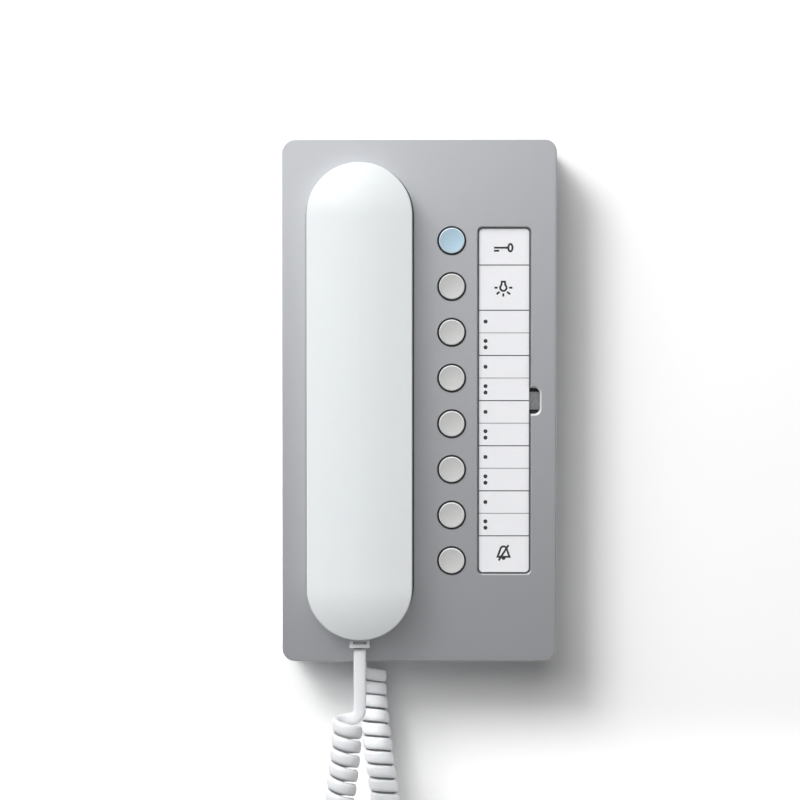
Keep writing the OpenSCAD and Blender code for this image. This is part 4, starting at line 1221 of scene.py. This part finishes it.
class CordMaker:
    """Works out the cord's line from its sizes and makes its meshes."""

    def __init__(self, size: CurlyCord) -> None:
        """Lays out the route.

        Args:
            size: The cord's sizes.
        """
        self.size = size
        self.points = self._smooth(self._route())
        self.run = [0.0]
        for first, second in zip(self.points, self.points[1:]):
            self.run.append(self.run[-1] + (second - first).length)
        self.length = self.run[-1]

    def _route(self) -> list[Vector]:
        """Lays out the route's points.

        Returns:
            The points, each end shifted to its lead's side.
        """
        size = self.size
        start = Vector(size.handset_plug) + Vector((-size.lead_side, -size.curl_radius, 0))
        stop = Vector(size.base_plug) + Vector((size.lead_side, size.curl_radius, 0))
        last = len(size.sag_mm) - 1
        points = []
        for i, sag in enumerate(size.sag_mm):
            share = (i - size.lead_points) / (last - 2 * size.lead_points)
            share = max(0.0, min(1.0, share))
            points.append(start.lerp(stop, share) + Vector(sag) * MM)
        return points

    def _smooth(self, route: list[Vector]) -> list[Vector]:
        """Draws a smooth curve.

        Args:
            route: Points that it goes through.

        Returns:
            Points along the curve.
        """
        last = len(route) - 1
        made = []
        for i in range(last):
            a, b, c, d = (route[max(0, min(last, i + k))] for k in (-1, 0, 1, 2))
            for step in range(self.size.route_steps):
                t = step / self.size.route_steps
                square = (2 * a - 5 * b + 4 * c - d) * t * t
                cube = (3 * b - a - 3 * c + d) * t ** 3
                made.append(0.5 * (2 * b + (c - a) * t + square + cube))
        return made + [route[last]]

    def along(self, place: float) -> Vector:
        """Finds a point of the route.

        Args:
            place: Length from the route's start.

        Returns:
            The point.
        """
        place = max(0.0, min(self.length, place))
        i = min(bisect_right(self.run, place), len(self.run) - 1)
        low, high = self.run[i - 1], self.run[i]
        return self.points[i - 1].lerp(self.points[i], (place - low) / (high - low))

    def heading(self, place: float) -> Vector:
        """Returns the route's direction at a length from its start."""
        look = self.size.look
        return (self.along(place + look) - self.along(place - look)).normalized()

    def opening(self, place: float) -> float:
        """Finds how far the curls open because the route bends.

        Args:
            place: Length from the route's start.

        Returns:
            How many times wider they lie there.
        """
        look = self.size.bend_look
        low, high = max(place - look, 0.0), min(place + look, self.length)
        bend = (self.heading(high) - self.heading(low)).length / (2 * look)
        return 1 / (1 - bend * (self.size.curl_radius + self.size.thickness / 2))

    def _wound(self, start: float, stop: float) -> tuple[list[float], list[float]]:
        """Spreads the curls along the route.

        Args:
            start: Where the curls begin.
            stop: Where they end.

        Returns:
            Shares of the curls, and the places along the route where they are reached.
        """
        step = (stop - start) / self.size.coil_steps
        shares, places = [0.0], [start]
        for k in range(self.size.coil_steps):
            shares.append(shares[-1] + step / self.opening(start + (k + 0.5) * step))
            places.append(start + (k + 1) * step)
        return [s / shares[-1] for s in shares], places

    def stations(self) -> list[Place]:
        """Places the cord's rings, from the handset's lead to the base's.

        Returns:
            Each ring's curl angle in degrees, sideways offset and place along the route.
        """
        size = self.size
        slope, radius = math.radians(size.curl_slope), size.lead_bend_radius
        turn = 360 * size.curls + size.base_angle - size.handset_angle
        sideways = size.lead_side - radius * (1 - math.sin(slope))
        lead_turn = radius * math.cos(slope) + sideways * math.tan(slope)
        back = self.length - size.base_lead
        shares, places = self._wound(size.handset_lead + lead_turn, back - lead_turn)
        count = round(turn * size.rings_per_curl / 360)
        angles = [(math.pi / 2 - slope) * (k + 1) / size.bend_rings for k in range(size.bend_rings)]
        bends = [(radius * (1 - math.cos(a)) - size.lead_side, radius * math.sin(a)) for a in angles]
        end_angle = size.handset_angle + turn
        made = [(size.handset_angle, -size.lead_side, size.handset_lead * k / size.lead_rings)
                for k in range(size.lead_rings + 1)]
        made += [(size.handset_angle, side, size.handset_lead + reach) for side, reach in bends]
        for k in range(count + 1):
            share = k / count
            i = max(1, min(bisect_right(shares, share), len(shares) - 1))
            part = (share - shares[i - 1]) / (shares[i] - shares[i - 1])
            place = places[i - 1] + part * (places[i] - places[i - 1])
            made.append((size.handset_angle + turn * share, 0.0, place))
        made += [(end_angle, -side, back - reach) for side, reach in reversed(bends)]
        made += [(end_angle, size.lead_side, self.length - size.base_lead * k / size.lead_rings)
                 for k in range(size.lead_rings, -1, -1)]
        return made

    def curl_axes(self, station: Place) -> tuple[Vector, Vector]:
        """Finds the directions of a curl at one ring.

        Args:
            station: The ring's angle, offset and place.

        Returns:
            The direction out of the curl and the direction round it.
        """
        angle, _, place = station
        way = self.heading(place)
        normal = Vector(self.size.loop_normal)
        first = (normal - normal.dot(way) * way).normalized()
        second = first.cross(way)
        turn = math.radians(angle)
        outward = math.cos(turn) * first + math.sin(turn) * second
        return outward, math.cos(turn) * second - math.sin(turn) * first

    def section(self) -> list[Flat]:
        """Draws the cord's flat section with its full round edges.

        Returns:
            Its points, across the cord and outward.
        """
        size, power = self.size, self.size.section_power
        made = []
        for k in range(size.section_points):
            angle = 2 * math.pi * (k + 0.5) / size.section_points
            across, out = math.cos(angle), math.sin(angle)
            reach = (abs(across) ** power + abs(out) ** power) ** (-1 / power)
            made.append((reach * across * size.width / 2, reach * out * size.thickness / 2))
        return made

    def rings(self) -> tuple[list[Vector], list[list[Vector]]]:
        """Carries the section along the cord.

        Returns:
            The cord's centre line, and a ring of points at each of its places.
        """
        stations = self.stations()
        axes = [self.curl_axes(s) for s in stations]
        line = [
            self.along(s[2]) + self.size.curl_radius * out + s[1] * side
            for s, (out, side) in zip(stations, axes)
        ]
        section = self.section()
        rings = []
        for i, middle in enumerate(line):
            way = (line[min(i + 1, len(line) - 1)] - line[max(i - 1, 0)]).normalized()
            across = way.cross(axes[i][0]).normalized()
            out = across.cross(way)
            rings.append([middle + a * across + o * out for a, o in section])
        return line, rings

    def level_ring(self, line: list[Vector], rings: list[list[Vector]]) -> int:
        """Finds the most level ring near the bottom of the loop.

        Args:
            line: The cord's centre line.
            rings: Its rings.

        Returns:
            The number of the ring.
        """
        low = min(p.z for p in self.points)
        near = [i for i, p in enumerate(line) if abs(p.z - low) < self.size.level_reach]
        return min(near, key=lambda i: max(p.z for p in rings[i]) - min(p.z for p in rings[i]))

    def build(self, finishes: FinishSet) -> list[bpy.types.Object]:
        """Makes both halves of the cord.

        Args:
            finishes: The part's materials.

        Returns:
            The handset's half and the base's half.
        """
        line, rings = self.rings()
        cut = self.level_ring(line, rings)
        bottom = line[cut].z
        handset_top = self.size.handset_plug[2] - self.size.handset_lead
        base_top = self.size.base_plug[2] - self.size.base_lead
        halves = []
        for name, low, high, first, last in (
            ("cord_handset_half", 0, cut, 2 * bottom - handset_top, handset_top),
            ("cord_base_half", cut, len(line) - 1, base_top, 2 * bottom - base_top),
        ):
            half = join_rings(name, rings[low:high + 1], smooth=True)
            half.data.materials.append(finishes["cord_white"])
            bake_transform(half)
            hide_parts("handset_cord")
            halves.append(half)
        return halves


class InkSheet:
    """Flat printed shapes that lie on the label, drawn in millimetres as x and z."""

    SHARPEST_MITRE = 0.4

    def __init__(self, depth: float, thickness: float) -> None:
        """Starts an empty sheet.

        Args:
            depth: Distance of the paper from the wall.
            thickness: Thickness of the ink.
        """
        self.low, self.high = -depth, -depth - thickness
        self.points: list[Place] = []
        self.faces: list[tuple[int, ...]] = []

    def strip(self, left: Sequence[Flat], right: Sequence[Flat], closed: bool) -> None:
        """Adds a band between two lines with as many points.

        Args:
            left: Points of one side.
            right: Points of the other side.
            closed: Whether the band's end meets its start.
        """
        first, count = len(self.points), len(left)
        for (lx, lz), (rx, rz) in zip(left, right):
            for y in (self.high, self.low):
                self.points.append((lx * MM, y, lz * MM))
                self.points.append((rx * MM, y, rz * MM))
        for k in range(count if closed else count - 1):
            a, b = first + 4 * k, first + 4 * ((k + 1) % count)
            self.faces += [(a, a + 1, b + 1, b), (a + 2, b + 2, b + 3, a + 3),
                           (a, b, b + 2, a + 2), (a + 1, a + 3, b + 3, b + 1)]
        if not closed:
            for a in (first, first + 4 * (count - 1)):
                self.faces.append((a, a + 1, a + 3, a + 2))

    def stroke(self, line: Sequence[Flat], width: float, closed: bool = False) -> None:
        """Adds a line of even width.

        Args:
            line: Points of its middle.
            width: Its width.
            closed: Whether its end meets its start.
        """
        count = len(line)
        left, right = [], []
        for k, point in enumerate(line):
            before = line[(k - 1) % count] if closed or k else point
            after = line[(k + 1) % count] if closed or k < count - 1 else point
            here = Vector(point)
            coming = (here - Vector(before)).normalized() if before != point else None
            going = (Vector(after) - here).normalized() if after != point else None
            coming, going = coming or going, going or coming
            mean = (coming + going).normalized()
            mitre = max(self.SHARPEST_MITRE, mean.dot(going))
            side = Vector((-mean.y, mean.x)) * (width / 2) / mitre
            left.append(tuple(here + side))
            right.append(tuple(here - side))
        self.strip(left, right, closed)

    def disc(self, x: float, z: float, radius: float, sides: int = 20) -> None:
        """Adds a round dot.

        Args:
            x: Sideways place of its middle.
            z: Height of its middle.
            radius: Its radius.
            sides: Corners of its outline.
        """
        first = len(self.points)
        for y in (self.high, self.low):
            for k in range(sides):
                turn = 2 * math.pi * k / sides
                self.points.append(
                    ((x + radius * math.cos(turn)) * MM, y, (z + radius * math.sin(turn)) * MM)
                )
        top = list(range(first, first + sides))
        self.faces += [tuple(top), tuple(k + sides for k in reversed(top))]
        for k in range(sides):
            a, b = top[k], top[(k + 1) % sides]
            self.faces.append((a, b, b + sides, a + sides))

    def make(self, name: str, ink: bpy.types.Material) -> bpy.types.Object:
        """Makes one piece of everything drawn so far.

        Args:
            name: Name of the piece.
            ink: Its material.

        Returns:
            The printed piece, riding with the housing.
        """
        piece = new_mesh(name, self.points, self.faces, smooth=False)
        piece.data.materials.append(ink)
        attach(piece, "base")
        return piece


def arc(middle: Flat, radii: Flat, start: float, stop: float, steps: int) -> list[Flat]:
    """Lays points on an ellipse.

    Args:
        middle: Place of its middle.
        radii: Its sideways and its upright radius.
        start: First angle in degrees.
        stop: Last angle in degrees.
        steps: Number of steps between them.

    Returns:
        The points from the first angle to the last.
    """
    turns = [math.radians(start + (stop - start) * k / steps) for k in range(steps + 1)]
    return [(middle[0] + radii[0] * math.cos(t), middle[1] + radii[1] * math.sin(t)) for t in turns]


@dataclass(frozen=True)
class KeySign:
    """Door key with an oval bow, in millimetres from the left end of its shaft."""

    x: float = 28.6
    z: float = 58.6
    shaft: float = 5.3
    bit: float = 2.0
    bit_z: float = -1.15
    bow_x: float = 6.28
    bow: Flat = (0.8, 1.42)

    def draw(self, ink: InkSheet, width: float) -> None:
        """Draws the key.

        Args:
            ink: Sheet to draw on.
            width: Width of the lines.
        """
        x, z, low = self.x, self.z, self.z + self.bit_z
        ink.stroke([(x, z), (x + self.shaft, z)], width)
        ink.stroke([(x, low), (x + self.bit, low)], width)
        bow = arc((x + self.bow_x, z), self.bow, start=180, stop=516, steps=28)
        ink.stroke(bow, width, closed=True)


@dataclass(frozen=True)
class LampSign:
    """Lamp with five rays, in millimetres from the middle of its bulb."""

    x: float = 32.2
    z: float = 43.3
    bulb: float = 1.22
    neck: float = 0.6
    neck_z: float = 2.3
    level_ray: Flat = (2.2, 3.45)
    slanted_ray: tuple[Flat, Flat] = ((1.45, -1.55), (2.6, -2.55))
    upright_ray: Flat = (-2.15, -3.4)

    def draw(self, ink: InkSheet, width: float) -> None:
        """Draws the lamp.

        Args:
            ink: Sheet to draw on.
            width: Width of the lines.
        """
        x, z, top = self.x, self.z, self.z + self.neck_z
        bulb = arc((x, z), (self.bulb, self.bulb), start=128, stop=412, steps=24)
        ink.stroke([(x - self.neck, top), *bulb, (x + self.neck, top)], width, closed=True)
        for side in (-1, 1):
            ink.stroke([(x + side * across, z) for across in self.level_ray], width)
            ink.stroke([(x + side * across, z + up) for across, up in self.slanted_ray], width)
        ink.stroke([(x, z + up) for up in self.upright_ray], width)


@dataclass(frozen=True)
class BellSign:
    """Bell with a line across it, in millimetres from its middle."""

    x: float = 32.4
    z: float = -58.2
    crown_z: float = 0.75
    crown: Flat = (1.3, 1.5)
    mouth: float = 2.3
    mouth_z: float = -1.75
    clapper_z: float = -2.2
    line: tuple[Flat, Flat] = ((-1.9, -3.2), (1.9, 2.75))

    def draw(self, ink: InkSheet, width: float) -> None:
        """Draws the bell.

        Args:
            ink: Sheet to draw on.
            width: Width of the lines.
        """
        x, z, low = self.x, self.z, self.z + self.mouth_z
        crown = arc((x, z + self.crown_z), self.crown, start=170, stop=10, steps=14)
        ink.stroke([(x - self.mouth, low), *crown, (x + self.mouth, low)], width, closed=True)
        ink.disc(x, z + self.clapper_z, width)
        ink.stroke([(x + across, z + up) for across, up in self.line], width)


@dataclass(frozen=True)
class LabelWindow(SubAssembly):
    """Label strip under its clear cover, with lines, dots and three signs.

    What is printed is in millimetres, from the width of a line to the place of a dot.
    """

    nodes: tuple[str, ...] = ("label_strip", "label_cover")
    paper_depth: float = 26.5 * MM
    ink_thickness: float = 0.03 * MM
    centre_x: float = 32.5
    half_width: float = 9.55
    middle_z: float = 0.05
    field_height: float = 17.31
    divider_count: int = 7
    major_width: float = 0.37
    minor_width: float = 0.28
    dot_x: float = 25.4
    dot_radius: float = 0.78
    dot_pair: float = 2.45
    sign_width: float = 0.76
    signs: tuple[KeySign | LampSign | BellSign, ...] = (KeySign(), LampSign(), BellSign())

    def dividers(self) -> list[float]:
        """Returns the heights of the lines between the fields, from the top."""
        half = (self.divider_count - 1) / 2
        return [self.middle_z + (half - k) * self.field_height for k in range(self.divider_count)]

    def pieces(self, finishes: FinishSet) -> list[bpy.types.Object]:
        """Draws the label.

        Args:
            finishes: The part's materials.

        Returns:
            The dark print and the pale print.
        """
        dark = InkSheet(self.paper_depth, self.ink_thickness)
        pale = InkSheet(self.paper_depth, self.ink_thickness)
        ends = (self.centre_x - self.half_width, self.centre_x + self.half_width)
        heights = self.dividers()
        for z in heights:
            dark.stroke([(x, z) for x in ends], self.major_width)
        for upper, lower in zip(heights[1:], heights[2:]):
            middle = (upper + lower) / 2
            pale.stroke([(x, middle) for x in ends], self.minor_width)
            dark.disc(self.dot_x, (upper + middle) / 2, self.dot_radius)
            for side in (-0.5, 0.5):
                dark.disc(self.dot_x, (middle + lower) / 2 + side * self.dot_pair, self.dot_radius)
        for sign in self.signs:
            sign.draw(dark, self.sign_width)
        return [dark.make("label_print", finishes["label_ink"]),
                pale.make("label_fine_print", finishes["pale_ink"])]


def main() -> None:
    """Builds the scene piece by piece."""
    logging.basicConfig(level=logging.INFO, format="%(message)s")
    Viewpoint().build()
    LOG.info("camera set")
    finishes = FinishSet()
    for part in (CurlyCord(), Handset(), Housing(), KeyPad(), LabelWindow(), Electronics()):
        pieces = part.build(finishes)
        LOG.info("%s", type(part).__name__)
        for name in part.nodes:
            LOG.info("%s: solid dressed", name)
        for piece in pieces:
            LOG.info("%s: %d faces made", piece.name, len(piece.data.polygons))
    Studio().build()
    LOG.info("wall, lamps and room set")


if __name__ == "__main__":
    main()
